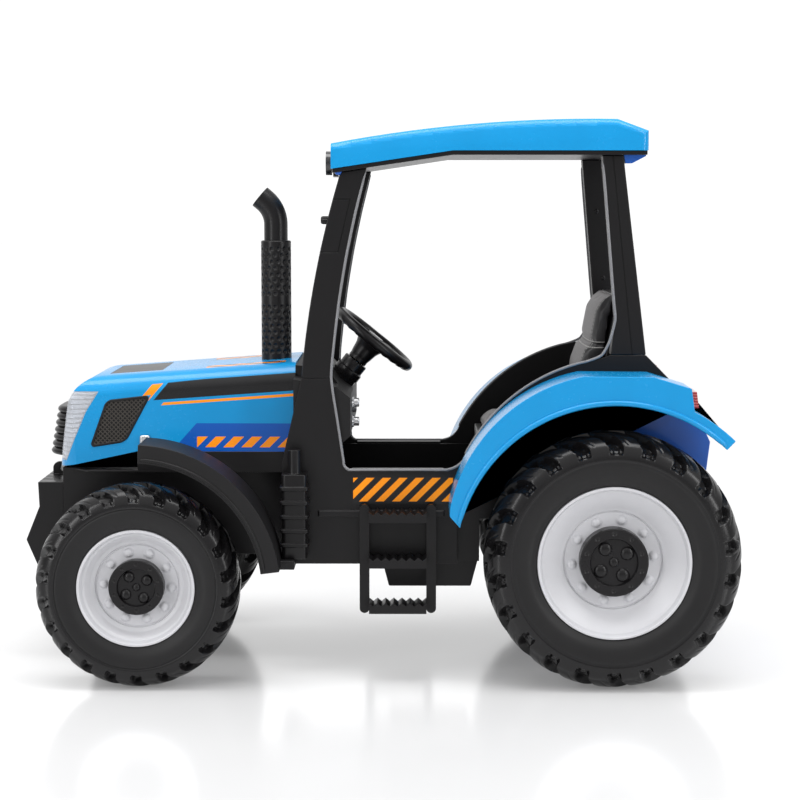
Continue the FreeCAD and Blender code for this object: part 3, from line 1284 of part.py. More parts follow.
def seat_base():
    """A seat box with its back in one moulding, open below."""
    body = new_body("seat_moulding")
    floor = "deck_z + wall"
    pad(body, outline(body, "XZ_Plane", [
        ("seat_front_x", floor),
        ("seat_front_x", "seat_front_z"),
        ("seat_pan_rear_x", "seat_pan_rear_z"),
        ("seat_back_low_x", "seat_back_low_z"),
        ("seat_back_top_x", "seat_back_top_z"),
        ("seat_back_top_x - seat_shell", "seat_back_top_z"),
        ("seat_rear_x", floor)]), "2 * seat_half", symmetric=True)
    inside = new_body("seat_inside")
    pad(inside, outline(inside, "XZ_Plane", [
        ("seat_front_x - wall", f"{floor} - overrun"),
        ("seat_front_x - wall", "seat_front_z - 2 * wall"),
        ("seat_pan_rear_x", "seat_pan_rear_z - 2 * wall"),
        ("seat_back_low_x - 2 * wall", "seat_back_low_z"),
        ("seat_back_top_x - seat_shell / 2", "seat_back_top_z - 2 * seat_shell"),
        ("seat_rear_x + wall", f"{floor} - overrun")]), "2 * (seat_half - wall)", symmetric=True)
    return cut(body, inside)


def pad_section(body, plane, lift, half, base, depth, crown, side):
    """A padded section: flat behind, bulging sides and a crowned face, all short arcs.

    On an upright plane the base is a height; on a level plane it is a place along X, drawn turned.
    """
    bulge = f"(({half}) ^ 2 + ({crown}) ^ 2) / (2 * ({crown}))"
    face = f"{base} + {depth} - {crown}"
    flat = [(f"-({half})", base), (half, base, side), (half, face, bulge), (f"-({half})", face, side)]
    if plane == "XY_Plane":
        flat = [(up, across, *(f"-({bend})" for bend in rest)) for across, up, *rest in flat]
    return outline(body, plane, flat, lift)


def lofted(body, sections):
    loft = body.newObject("PartDesign::AdditiveLoft", "loft")
    loft.Profile = sections[0]
    loft.Sections = [(section, [""]) for section in sections[1:]]
    loft.Ruled = True
    return loft


def seat_cushion():
    """Crowned across, drawn in at the ends and between the corners; it lies on the sloping pan."""
    body = new_body("seat_cushion")
    slope = "(seat_front_z - seat_pan_rear_z) / (seat_front_x - seat_pan_rear_x)"
    length = "(seat_front_x - seat_pan_rear_x - 2 * wall)"
    sections = []
    for along_share, depth_share, half_share in ((0, 0.55, 0.94), (0.14, 0.92, 1), (0.5, 1, 0.97),
                                                 (0.86, 0.92, 1), (1, 0.55, 0.94)):
        x = f"(seat_pan_rear_x + wall + {length} * {along_share})"
        base = f"seat_pan_rear_z + ({x} - seat_pan_rear_x) * {slope} + seat_gap"
        sections.append(pad_section(body, "YZ_Plane", x, f"cushion_half * {half_share}", base,
                                    f"cushion_thick * {depth_share}", "cushion_crown", "cushion_side"))
    lofted(body, sections)
    return body


def seat_back():
    """A thick lower pad and a thinner upper pad with a sewn channel between them."""
    body = new_body("seat_back")
    lean = "(seat_back_top_x - seat_back_low_x) / (seat_back_top_z - seat_back_low_z)"
    height = "(back_pad_top_z - back_pad_low_z)"
    section_shares = ((0, 0.5, 0.93), (0.12, 0.9, 1), (0.38, 1, 0.98), (0.52, 0.86, 1),
                      (0.57, 0.6, 1), (0.63, 0.72, 1), (0.85, 0.72, 0.97), (1, 0.36, 0.88))
    sections = []
    for up_share, depth_share, half_share in section_shares:
        z = f"(back_pad_low_z + {height} * {up_share})"
        base = f"seat_back_low_x + ({z} - seat_back_low_z) * {lean} + seat_gap"
        sections.append(pad_section(body, "XY_Plane", z, f"back_pad_half * {half_share}", base,
                                    f"back_pad_thick * {depth_share}", "back_pad_crown", "cushion_side"))
    lofted(body, sections)
    return body


keep("dashboard", dashboard())
keep("start_button", rod("start_radius", "start_length", "dash_rear_x - start_proud", "start_y", "start_z",
                         (0, 1, 0), "90"))
keep("direction_lever", direction_lever())
keep("seat_base", seat_base())
keep("seat_cushion", seat_cushion())
keep("seat_back", seat_back())


# Check every object, then write one file for each piece
doc.recompute()
for item in doc.Objects:
    if {"Invalid", "Error"} & set(item.State):
        raise RuntimeError(f"{item.Name} ({item.Label}) failed: {item.State}")
os.makedirs("parts", exist_ok=True)
for label, piece in pieces.items():
    if piece.Shape.isNull() or not piece.Shape.isValid():
        raise RuntimeError(f"{label} has no valid shape")
    piece.Shape.exportStep(f"parts/{label}.step")
print(len(pieces), "pieces written")
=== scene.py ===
# %% [markdown]
# A ride-on toy tractor, dressed for a studio picture. The solids come from the CAD frame and stay where
# they are. This lesson gives them moulded plastic, lugged tyres, grained seat pads and soft light.

# %% Load the frame
import json
import math

import bmesh
import bpy
import numpy as np
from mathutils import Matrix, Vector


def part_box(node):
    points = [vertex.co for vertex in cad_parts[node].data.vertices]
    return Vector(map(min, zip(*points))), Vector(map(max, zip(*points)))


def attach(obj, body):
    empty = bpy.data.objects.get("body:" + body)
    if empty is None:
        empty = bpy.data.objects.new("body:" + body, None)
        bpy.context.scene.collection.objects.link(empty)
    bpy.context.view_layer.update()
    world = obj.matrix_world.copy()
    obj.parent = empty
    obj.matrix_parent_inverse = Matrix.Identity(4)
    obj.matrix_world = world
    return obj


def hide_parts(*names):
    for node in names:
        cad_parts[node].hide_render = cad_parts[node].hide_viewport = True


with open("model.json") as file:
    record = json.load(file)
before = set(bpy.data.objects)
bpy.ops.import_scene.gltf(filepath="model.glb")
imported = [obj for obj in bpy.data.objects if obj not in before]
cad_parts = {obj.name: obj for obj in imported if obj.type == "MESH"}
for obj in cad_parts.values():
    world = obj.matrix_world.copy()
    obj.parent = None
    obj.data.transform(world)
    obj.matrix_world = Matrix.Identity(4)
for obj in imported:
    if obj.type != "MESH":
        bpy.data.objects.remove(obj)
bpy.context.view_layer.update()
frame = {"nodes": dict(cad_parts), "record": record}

MM = 0.001

# %% [markdown]
# Shader maths reads best as plain formulas. A small class wraps a node's output, and each operator on it
# adds one Math node, so a stripe can be written as an expression of a point's coordinates.

# %% Sockets that take part in expressions


class Socket:
    """One node output; operators on it add Math nodes, and node() adds any other kind."""

    def __init__(self, tree, output):
        self.tree, self.output = tree, output

    def node(self, kind, settings, values, out=0):
        """Add a node: its settings first, then a number, colour or Socket for each named input."""
        made = self.tree.nodes.new("ShaderNode" + kind)
        for name, value in settings.items():
            setattr(made, name, value)
        for key, value in values.items():
            if isinstance(value, Socket):
                self.tree.links.new(value.output, made.inputs[key])
            else:
                made.inputs[key].default_value = value
        return Socket(self.tree, made.outputs[out])

    def maths(self, operation, *terms):
        return self.node("Math", {"operation": operation}, dict(enumerate(terms)))

    def __add__(self, other):
        return self.maths("ADD", self, other)

    def __sub__(self, other):
        return self.maths("SUBTRACT", self, other)

    def __rsub__(self, other):
        return self.maths("SUBTRACT", other, self)

    def __mul__(self, other):
        return self.maths("MULTIPLY", self, other)

    def __truediv__(self, other):
        return self.maths("DIVIDE", self, other)

    def __abs__(self):
        return self.maths("ABSOLUTE", self)

    def __pow__(self, other):
        return self.maths("POWER", self, other)

    __radd__, __rmul__ = __add__, __mul__

    def most(self, other):
        """The greater of two values."""
        return self.maths("MAXIMUM", self, other)

    def fraction(self):
        return self.maths("FRACT", self)

    def sine(self):
        return self.maths("SINE", self)

    def parts(self):
        """The three coordinates of a vector."""
        split = self.node("SeparateXYZ", {}, {0: self}).output.node
        return [Socket(self.tree, output) for output in split.outputs]

    def past(self, edge, soft):
        """0 below an edge and 1 above it, with a soft step as wide as asked."""
        values = {"Value": self, "From Min": edge - soft / 2, "From Max": edge + soft / 2}
        return self.node("MapRange", {"interpolation_type": "SMOOTHSTEP"}, values)

    def within(self, low, high, soft):
        """1 between two edges and 0 outside them."""
        return self.past(low, soft) * (1 - self.past(high, soft))

    def near(self, half, soft):
        """1 where this value lies within half of 0, whatever its sign."""
        return 1 - abs(self).past(half, soft)

    def noise(self, scale, detail=2.0):
        return self.node("TexNoise", {}, {"Vector": self, "Scale": scale, "Detail": detail}, "Fac")

    def cells(self, scale):
        return self.node("TexVoronoi", {}, {"Vector": self, "Scale": scale}, "Distance")

    def mix(self, first, second):
        """A colour that goes from first to second as this value goes from 0 to 1."""
        return self.node("Mix", {"data_type": "RGBA"}, {0: self, 6: first, 7: second}, 2)

    def relief(self, depth):
        """A normal that shows this value as height, a depth in metres."""
        return self.node("Bump", {}, {"Height": self, "Strength": 1.0, "Distance": depth})


def finish(name, painted, **constants):
    """A material; painted(point) gives the inputs that change over the surface, constants the rest."""
    material = bpy.data.materials.new(name)
    material.use_nodes = True
    tree = material.node_tree
    shader = tree.nodes["Principled BSDF"]
    point = Socket(tree, tree.nodes.new("ShaderNodeTexCoord").outputs["Object"])
    for label, value in constants.items():
        shader.inputs[label.replace("_", " ")].default_value = value
    for label, value in painted(point).items():
        tree.links.new(value.output, shader.inputs[label])
    return material


def shade(colour, share):
    """A colour made darker or lighter, as the four numbers a shader takes."""
    return tuple(min(1.0, part * share) for part in colour[:3]) + (1.0,)


# %% [markdown]
# Toy bodies are blow-moulded polyethylene: a thick coloured skin with a faint orange peel, cloudy changes of
# shade, and fine rubs that show only in the gloss. Each plastic here is those three things at its own scale.

# %% Moulded plastics
BLUE = (0.0015, 0.262, 0.585)
DEEP_BLUE = (0.002, 0.085, 0.42)
BLACK = (0.0062, 0.0057, 0.0063)
ORANGE = (1.0, 0.30, 0.006)
PALE = (0.58, 0.58, 0.605)


def moulded(point, colour, rough, grain, depth):
    """Cloudy colour, roughness with fine rubs, and a fine grain, for one plastic."""
    clouds = point.noise(9.0, 3.0)
    rubs = point.noise(140.0, 5.0).past(0.62, 0.1)
    return {
        "Base Color": clouds.mix(shade(colour, 0.90), shade(colour, 1.10)),
        "Roughness": rough + 0.08 * (clouds - 0.5) + 0.025 * rubs,
        "Normal": point.noise(grain, 3.0).relief(depth),
    }


def plastic(name, colour, rough, grain, depth, **constants):
    return finish(name, lambda point: moulded(point, colour, rough, grain, depth), **constants)


blue_plastic = plastic("blue_plastic", BLUE, 0.25, 110.0, 0.00004, Coat_Weight=0.18, Coat_Roughness=0.08,
                       Specular_IOR_Level=0.32)
tail_plastic = plastic("tail_plastic", DEEP_BLUE, 0.30, 110.0, 0.00006, Coat_Weight=0.2)
black_plastic = plastic("black_plastic", BLACK, 0.32, 900.0, 0.00005, Specular_IOR_Level=0.28)
satin_black = plastic("satin_black", BLACK, 0.50, 900.0, 0.00005, Specular_IOR_Level=0.30)
fine_black = plastic("fine_black", shade(BLACK, 1.2), 0.28, 1400.0, 0.00003, Specular_IOR_Level=0.26)
dark_inner = plastic("dark_inner", shade(BLACK, 0.8), 0.55, 700.0, 0.00008, Specular_IOR_Level=0.3)
silver_plastic = plastic("silver_plastic", (0.52, 0.52, 0.53), 0.24, 500.0, 0.00004, Metallic=0.7)
rim_plastic = plastic("rim_plastic", PALE, 0.33, 260.0, 0.00006)
grey_plastic = plastic("grey_plastic", (0.24, 0.24, 0.25), 0.30, 500.0, 0.00004)
print("plastics", sum(m.name.count("plastic") for m in bpy.data.materials))

# %% [markdown]
# Most new pieces are grids: a shape is worked out as arrays of points over two parameters, and neighbours in
# the grid become faces. A grid may close on itself in either direction, as a tyre does in both.

# %% Grids to pieces
SIDES = (("left", 1), ("right", -1))


def angles(count):
    """Evenly spaced angles of a full turn."""
    return np.linspace(0, 2 * np.pi, count, endpoint=False)


def grid_of(x, y, z):
    """Coordinates over rows, columns or both, as one grid of points."""
    return np.stack(np.broadcast_arrays(x, y, z), -1)


def grid_faces(rows, columns, ring_rows=False, ring_columns=False):
    """Quads (r, c), (r, c+1), (r+1, c+1), (r+1, c) of a grid; a ring's last line joins its first."""
    r, c = np.indices((rows - (not ring_rows), columns - (not ring_columns)))
    r2, c2 = (r + 1) % rows, (c + 1) % columns
    corners = [r * columns + c, r * columns + c2, r2 * columns + c2, r2 * columns + c]
    return np.stack(corners, -1).reshape(-1, 4)


def dress(piece, body, slot, *nodes):
    """Say what a piece moves with and which solids it stands for, hiding them; the slot argument is not used.
    """
    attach(piece, body)
    if nodes:
        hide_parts(*nodes)
    return piece


def put(name, data):
    """An object for a mesh, a light or a camera, linked to the scene."""
    thing = bpy.data.objects.new(name, data)
    bpy.context.scene.collection.objects.link(thing)
    return thing


def make(name, points, faces, material, crease=35):
    """A mesh object from arrays, shaded smooth but for edges sharper than the crease angle.

    Its enclosed volume, a sum of p1 . (p2 x p3) / 6, tells whether the faces look outwards."""
    points = np.asarray(points, float).reshape(-1, 3)
    faces = np.asarray(faces)
    a, b, c = (points[faces[:, k]] for k in (0, 1, 2))
    volume = np.einsum("ij,ij->i", a, np.cross(b, c)).sum()
    if faces.shape[1] == 4:
        d = points[faces[:, 3]]
        volume += np.einsum("ij,ij->i", a, np.cross(c, d)).sum()
    mesh = bpy.data.meshes.new(name)
    mesh.from_pydata(points.tolist(), [], (faces if volume >= 0 else faces[:, ::-1]).tolist())
    mesh.polygons.foreach_set("use_smooth", np.ones(len(faces), bool))
    mesh.set_sharp_from_angle(angle=math.radians(crease))
    mesh.materials.append(material)
    return put(name, mesh)


def grid_piece(name, points, material, crease, ring_rows=False, ring_columns=True):
    """A mesh object from a grid of points."""
    return make(name, points, grid_faces(*points.shape[:2], ring_rows, ring_columns), material, crease)


def smooth_path(corners, count, sharp=0.0):
    """Evenly spaced points of a Catmull-Rom curve through corners, or of the corners' polygon at sharp 1."""
    c = np.asarray(corners, float)
    c = np.concatenate([2 * c[:1] - c[1:2], c, 2 * c[-1:] - c[-2:-1]])
    t = np.linspace(0, len(c) - 3, 40 * (len(c) - 3) + 1)
    i = np.minimum(t.astype(int), len(c) - 4)
    u = (t - i)[:, None]
    p0, p1, p2, p3 = c[i], c[i + 1], c[i + 2], c[i + 3]
    curve = (p1 + (p2 - p0) * u / 2 + (2 * p0 - 5 * p1 + 4 * p2 - p3) * u**2 / 2
             + (3 * p1 - p0 - 3 * p2 + p3) * u**3 / 2)
    curve = (1 - sharp) * curve + sharp * (p1 + (p2 - p1) * u)
    walked = np.r_[0, np.cumsum(np.linalg.norm(np.diff(curve, axis=0), axis=1))]
    at = np.linspace(0, walked[-1], count)
    return np.stack([np.interp(at, walked, curve[:, k]) for k in range(c.shape[1])], 1)


def step(value, low, high):
    """Smoothstep: 0 below low, 1 above high, and 3t^2 - 2t^3 between them."""
    t = np.clip((value - low) / (high - low), 0, 1)
    return t * t * (3 - 2 * t)


# %% [markdown]
# The tyre is what makes a tractor. Its section is turned about the axle at the height of the bars, and
# channels are cut into it between them. Each channel ends at the shoulder in a pocket with a small tongue.
# The grid leans with the bars, so that its lines run along their edges, and all bars are the same.

# %% Tyres
BARS = 22
WHEELS = {
    "front": dict(x=430, radius=186, half=60, rim=108, bead=48, bar=12, disc=18, disc_radius=76, cap=50,
                  cap_high=24, nut_turn=0.26),
    "rear": dict(x=-432, radius=234, half=72, rim=140, bead=58, bar=15, disc=20, disc_radius=89, cap=62,
                 cap_high=30, nut_turn=0.42),
}
TRACK = 287
AROUND, ACROSS = BARS * 36, 118
SHOULDER = [(0, 1.0), (0.40, 0.992), (0.68, 0.965), (0.88, 0.915), (0.975, 0.85), (1.0, 0.79), (0.985, 0.72),
            (0.93, 0.655)]
SIDEWALL, POCKET_FOOT, POCKET_TOP = 0.785, 0.855, 0.905
LEAN, LEAN_POWER = 0.95, 1.3
BAR_SHARE, BAR_FLARE, BAR_EDGE = 0.235, 0.065, 0.028
LINE_SHARE, TONGUE_SHARE, RING_DEPTH = 0.09, 0.45, 1.8


def tyre_points(w, side):
    """Points of a tyre: section (y, r) less a depth along its normal, turned round the axle.

    Its grid lines lean by lean(s) with the distance s from the tyre's middle, as the bars do.
    """
    half, radius = w["half"], w["radius"]
    outer = [(y * half, r * radius) for y, r in SHOULDER] + [(w["bead"], w["rim"])]
    section = smooth_path(outer, ACROSS // 2)
    section = np.concatenate([(section * (-1, 1))[:0:-1], section])
    along = np.gradient(section, axis=0)
    along /= np.linalg.norm(along, axis=1)[:, None]
    normal = np.stack([-along[:, 1], along[:, 0]], 1)
    s = np.r_[0, np.cumsum(np.linalg.norm(np.diff(section, axis=0), axis=1))]
    s -= s[len(s) // 2]
    t, up = np.abs(s) / half, section[:, 1] / radius
    pitch = 2 * np.pi / BARS
    spread = angles(AROUND)[:, None]
    turn = spread - LEAN * pitch * (1 - np.clip(t, 0, 1)) ** LEAN_POWER
    cover = np.zeros((AROUND, len(s)))
    for flip in (1, -1):
        off = (spread - np.pi / 2 - (flip > 0) * pitch / 2 + pitch / 2) % pitch - pitch / 2
        share = np.abs(off) / pitch
        edge = BAR_SHARE + BAR_FLARE * np.clip(t, 0, 1)
        bar = 1 - step(share, edge - BAR_EDGE, edge + BAR_EDGE)
        line = 1 - step(np.abs(off / pitch + 0.10), 0.012, 0.030)
        line = line * step(t, 0.15, 0.25) * (1 - step(t, 0.85, 0.95))
        tongue = (1 - step(0.5 - share, 0.06, 0.095)) * (1 - step(up, 0.88, POCKET_TOP))
        row = np.maximum(bar - LINE_SHARE * line, TONGUE_SHARE * tongue)
        row = row * step(flip * s / half, -0.10, -0.04)
        cover = np.maximum(cover, row)
    depth = w["bar"] * (1 - 0.35 * step(t, 0.8, 1.2)) * step(up, POCKET_FOOT - 0.012, POCKET_FOOT + 0.012)
    ring = (1 - step(np.abs(up - SIDEWALL), 0.002, 0.012)) * (np.abs(section[:, 0]) > half / 2)
    height = -depth * (1 - cover) - RING_DEPTH * ring
    y = np.clip(section[:, 0] + height * normal[:, 0], -half, half)
    r = section[:, 1] + height * normal[:, 1]
    return turned_points(w, side, y, r, turn)


def turned_points(w, side, y, r, turn):
    """Grid of points at distances y along the axle and r from it, at each angle of turn."""
    x, z = w["x"] + r * np.cos(turn), w["radius"] + r * np.sin(turn)
    return grid_of(x, side * (TRACK + y), z) * MM


def tyre_rubber(point, w):
    """Blow-moulded black, matt on the sidewall and glossy on the bars, by the distance from the axle."""
    x, _, z = point.parts()
    across, up = x - w["x"] * MM, z - w["radius"] * MM
    bars = ((across * across + up * up) ** 0.5).past((SIDEWALL + 0.01) * w["radius"] * MM, 0.003)
    clouds, fine = point.noise(14.0, 4.0), point.noise(420.0, 3.0)
    return {
        "Base Color": clouds.mix((0.0052, 0.0049, 0.0054, 1), (0.0098, 0.0093, 0.0100, 1)),
        "Roughness": 0.46 + 0.16 * (clouds - 0.5) + 0.06 * fine - 0.25 * bars,
        "Normal": (0.7 * fine + 0.3 * point.noise(1500.0)).relief(0.00006),
    }


for end, w in WHEELS.items():
    rubber = finish(f"{end}_tyre_rubber", lambda point: tyre_rubber(point, w), Specular_IOR_Level=0.32)
    for name, side in SIDES:
        tyre = grid_piece(f"{end}_{name}_tyre", tyre_points(w, side), rubber, 50, True, False)
        dress(tyre, f"{end}_{name}_wheel", "tyre_black", f"{end}_tyre_{name}")
print("tyre faces", len(tyre.data.polygons))

# %% [markdown]
# A rim is one moulding: a bright lip, a cone down to the disc, and ten domed nuts that are only bumps in it.
# So the nuts are height on the same turned grid, and nothing is glued on.

# %% Rims
NUTS, NUT_HIGH, NUT_FOOT = 10, 5.2, 0.9
CAP_DENTS, DENT_DEEP, CAP_SUNK, DOME_POWER = 10, 2.4, 6.5, 0.6


def rim_points(w, side):
    """Section (y, r) of the dish, with domes sqrt(1 - d^2) of height where the nuts stand."""
    bead, rim, disc, inner = w["bead"], w["rim"], w["disc"], w["disc_radius"]
    corners = [(-bead, rim - 7), (-bead, rim), (bead - 2, rim), (bead + 1.5, rim - 1.5),
               (bead + 2.2, rim - 4), (bead + 1.0, rim - 6.5), (bead - 3, rim - 8), (bead - 9, rim - 10),
               (bead - 12, rim - 14), (disc + 6, inner + 9), (disc + 3.0, inner + 3.5),
               (disc + 2.2, inner + 1.6), (disc - 1.2, inner + 0.6), (disc - 1.6, inner - 1.0),
               (disc, inner - 3), (disc, w["cap"] + 4), (disc, w["cap"] - 12)]
    section = np.concatenate([smooth_path(corners[:4], 10, 1.0)[:-1], smooth_path(corners[3:], 150, 0.5)])
    turn = angles(240)[:, None]
    y, r = section[:, 0] + 0 * turn, section[:, 1] + 0 * turn
    place = (inner + w["cap"]) / 2 - 0.5
    off = (turn + w["nut_turn"]) % (2 * np.pi / NUTS) - np.pi / NUTS
    d = np.hypot(r - place, r * off) / (0.24 * (inner - w["cap"]) + 1.8)
    on_disc = np.abs(section[:, 0] - disc) < 2.0
    dome = np.sqrt(np.clip(1 - d**2, 0, 1))
    y = y + on_disc * (NUT_HIGH * dome + NUT_FOOT * (1 - step(d, 1.05, 1.25)))
    return turned_points(w, side, y, r, turn)


def cap_points(w, side):
    """Height over radius and angle: a ring with ten dents, a sunk disc, and domes (1 - d^2)^0.6 on it."""
    cap = w["cap"]
    r = np.concatenate([[cap], np.linspace(cap, 0.4, 84)])
    turn = angles(224)[:, None]
    ring = 0.70 * cap
    top = w["disc"] + w["cap_high"]
    y = top - 2.0 * step(r, 0.955 * cap, cap) - CAP_SUNK * (1 - step(r, ring - 2.0, ring + 0.5)) + 0 * turn
    cell = 2 * np.pi / CAP_DENTS
    dent = np.hypot(r - 0.84 * cap, (turn % cell - cell / 2) * r) / (0.075 * cap)
    y = y - DENT_DEEP * np.clip(1 - dent**2, 0, 1)
    size = 0.20 * cap
    off = ((turn - 0.19) % (np.pi / 2)) - np.pi / 4
    far = np.sqrt(r**2 + (0.46 * cap) ** 2 - 0.92 * r * cap * np.cos(off))
    y = y + 6.5 * np.clip(1 - (far / size) ** 2, 0, 1) ** DOME_POWER
    y = y + 5.4 * np.clip(1 - (r / (0.15 * cap)) ** 2, 0, 1) ** DOME_POWER
    y[:, 0] = w["disc"]
    return turned_points(w, side, y, r, turn)


for end, w in WHEELS.items():
    for name, side in SIDES:
        for kind, points, material, slot in (("rim", rim_points(w, side), rim_plastic, "rim_grey"),
                                             ("hub_cap", cap_points(w, side), fine_black, "black_plastic")):
            piece = grid_piece(f"{end}_{name}_{kind}", points, material, 42, True, False)
            dress(piece, f"{end}_{name}_wheel", slot, f"{end}_{kind}_{name}")
print("rim faces", len(piece.data.polygons))

# %% [markdown]
# The exhaust is a pipe in a heat shield pressed with rows of round dimples. On the unrolled cylinder a
# dimple is a bowl of depth (1 - d^2) at the nearest point of a staggered lattice, so one formula makes all.

# %% Exhaust shield
DIMPLE_PITCH, DIMPLES_AROUND, DIMPLE_RADIUS, DIMPLE_DEPTH = 12.4, 14, 4.3, 2.4
LAST_ROW, BARE_ROW = 16, 8
sleeve_low, sleeve_high = (np.array(corner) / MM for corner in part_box("exhaust_sleeve"))


def shield_points(radius=29.0, rows=230, columns=208):
    """Radius over height and angle: a shell with a rolled top edge, dimpled in two groups of rows."""
    middle = (sleeve_low + sleeve_high) / 2
    top, foot = sleeve_high[2], sleeve_low[2]
    bend = np.linspace(0, 1, 9) * np.pi / 2
    z = np.concatenate([np.linspace(foot, top - 3, rows - 14), top - 3 + 3 * np.sin(bend), np.full(5, top)])
    r = np.concatenate([np.full(rows - 14, radius), radius - 3 + 3 * np.cos(bend),
                        np.linspace(radius - 3.2, 23.4, 5)])
    turn = angles(columns)[None, :]
    row = (top - 16 - z)[:, None] / DIMPLE_PITCH
    level = np.round(row)
    cell = 2 * np.pi / DIMPLES_AROUND
    off = (turn + (level % 2) * cell / 2 + cell / 2) % cell - cell / 2
    d = np.hypot((row - level) * DIMPLE_PITCH, off * radius) / DIMPLE_RADIUS
    shown = (level >= 0) & (level <= LAST_ROW) & (level != BARE_ROW)
    r = r[:, None] - DIMPLE_DEPTH * np.clip(1 - d**2, 0, 1) * shown
    return grid_of(middle[0] + r * np.cos(turn), middle[1] + r * np.sin(turn), z[:, None]) * MM


shield = grid_piece("exhaust_shield", shield_points(), black_plastic, 45)
dress(shield, "chassis", "black_plastic", "exhaust_sleeve")
print("shield faces", len(shield.data.polygons))

# %% [markdown]
# The steering wheel has a thick round grip with finger hollows underneath, three spokes that dip to the hub,
# and a column boss. It is built flat about its own axis and then laid at the column's slope.

# %% Steering wheel
COLUMN_TILT = math.radians(51)
WHEEL_MIDDLE = np.array([5.0, 0.0, 614.0])
GRIP_RADIUS, GRIP_THICK = 82.5, 10.4
LAID = np.array([[math.sin(COLUMN_TILT), 0, math.cos(COLUMN_TILT)], [0, 1, 0],
                 [-math.cos(COLUMN_TILT), 0, math.sin(COLUMN_TILT)]])


def laid(points):
    """From the wheel's own frame (forward, left, up the column) to the tractor's."""
    return (np.asarray(points) @ LAID + WHEEL_MIDDLE) * MM


def grip_points(around=168, section=28):
    """A torus with 24 shallow hollows of depth cos^2 on its underside and four flat thumb rests on top."""
    a, b = angles(around)[:, None], angles(section)[None, :]
    under, over = np.clip(-np.sin(b), 0, 1), np.clip(np.sin(b), 0, 1)
    r = GRIP_THICK - 1.1 * under * np.cos(12 * a) ** 2 - 0.5 * (np.cos(2 * a) ** 8) * over
    out = GRIP_RADIUS + r * np.cos(b)
    return grid_of(out * np.cos(a), out * np.sin(a), r * np.sin(b))


def spoke_points(turn, length=26, section=24):
    """A bar from the hub to the grip: half widths (p, q) of a superellipse, dipping towards the hub."""
    t = np.linspace(0, 1, length)[:, None]
    b = angles(section)[None, :]
    reach = 20 + 57 * t
    p, q = 15.5 - 5.5 * t + 3.0 * t**6, 5.2 - 1.2 * t
    across = p * np.sign(np.cos(b)) * np.abs(np.cos(b)) ** 0.6
    up = q * np.sign(np.sin(b)) * np.abs(np.sin(b)) ** 0.6 - 5.0 * (1 - t) ** 2
    flat = grid_of(reach, across, up)
    c, s = math.cos(turn), math.sin(turn)
    return flat @ np.array([[c, s, 0], [-s, c, 0], [0, 0, 1]])


def hub_points(columns=64):
    """A turned boss: a rolled top round the horn's well, and a cone down to the column."""
    corners = [(17.6, -5), (17.6, 2), (19.5, 4), (27, 3), (30, -2), (29.5, -12), (24, -24), (21, -40),
               (19.5, -46), (19.0, -53.5), (7.5, -53.5)]
    r, up = np.hsplit(smooth_path(corners, 66, 0.35), 2)
    a = angles(columns)[None, :]
    return grid_of(r * np.cos(a), r * np.sin(a), up)


def joined(parts):
    """Several grids as one mesh: points in a row, and faces counted on from the part before."""
    points, faces, start = [], [], 0
    for grid, rings in parts:
        points.append(grid.reshape(-1, 3))
        faces.append(grid_faces(*grid.shape[:2], *rings) + start)
        start += len(points[-1])
    return np.concatenate(points), np.concatenate(faces)


wheel_parts = [(grip_points(), (True, True)), (hub_points()[::-1], (False, True))]
wheel_parts += [(spoke_points(turn), (False, True)) for turn in np.radians([0, 120, 240])]
points, faces = joined(wheel_parts)
wheel = make("steering_grip", laid(points), faces, black_plastic, 45)
dress(wheel, "steering", "grip_black", "steering_wheel")
print("steering wheel faces", len(faces))

# %% [markdown]
# Stickers lie flat on the plastic, so they are colour and gloss, not shape: a mask worked out from a point's
# own place. The design is a plain one in the toy's colours: a wedge along the hood with a pin stripe under
# it, a dark panel below with slanted blocks, and slanted bars on the side panels and the hood's top.

# %% Stickers
STICKER_BLACK = (0.010, 0.010, 0.011, 1)
HOOD_SLOPE, END_SLANT = 0.0718, 0.9


def slanted(across, up, pitch, share):
    """1 on bars at 45 degrees, each a share of the pitch wide: the fraction of (across + up) / pitch."""
    turn = (across + up) / pitch
    return (turn.fraction() - 0.5).near(share / 2, 0.03)


def hood_stickers(point):
    """Masks on the hood's side walls, in heights h that follow the slope of the hood's top line."""
    painted = moulded(point, BLUE, 0.25, 110.0, 0.00004)
    x, y, z = point.parts()
    side, h = abs(y).past(0.150, 0.001), z + HOOD_SLOPE * (x - 0.150)
    reach = x + END_SLANT * h
    wedge = side * h.within(0.528, 0.561, 0.0008) * (1 - reach.past(0.892, 0.001))
    pin = side * h.within(0.5175, 0.5225, 0.0006) * (1 - reach.past(0.868, 0.001))
    chip = side * h.within(0.528, 0.561, 0.0008) * reach.within(0.901, 0.921, 0.001)
    lower = side * (1 - z.past(0.466, 0.0008)) * (1 - (x + END_SLANT * z).past(0.755, 0.001))
    blocks = lower * z.within(0.421, 0.441, 0.0008) * slanted(x, z, 0.034, 0.56)
    blocks = blocks * x.within(0.160, 0.335, 0.001)
    brow = abs(y).within(0.070, 0.112, 0.0008) * x.within(0.172, 0.322, 0.001) * h.past(0.552, 0.002)
    colour = wedge.mix(painted["Base Color"], STICKER_BLACK)
    colour = lower.mix(colour, shade(DEEP_BLUE, 1.0))
    colour = brow.mix(colour, STICKER_BLACK)
    marks = pin.most(chip).most(blocks).most(brow * slanted(x, abs(y), 0.040, 0.5))
    painted["Base Color"] = marks.mix(colour, shade(ORANGE, 1.0))
    return painted


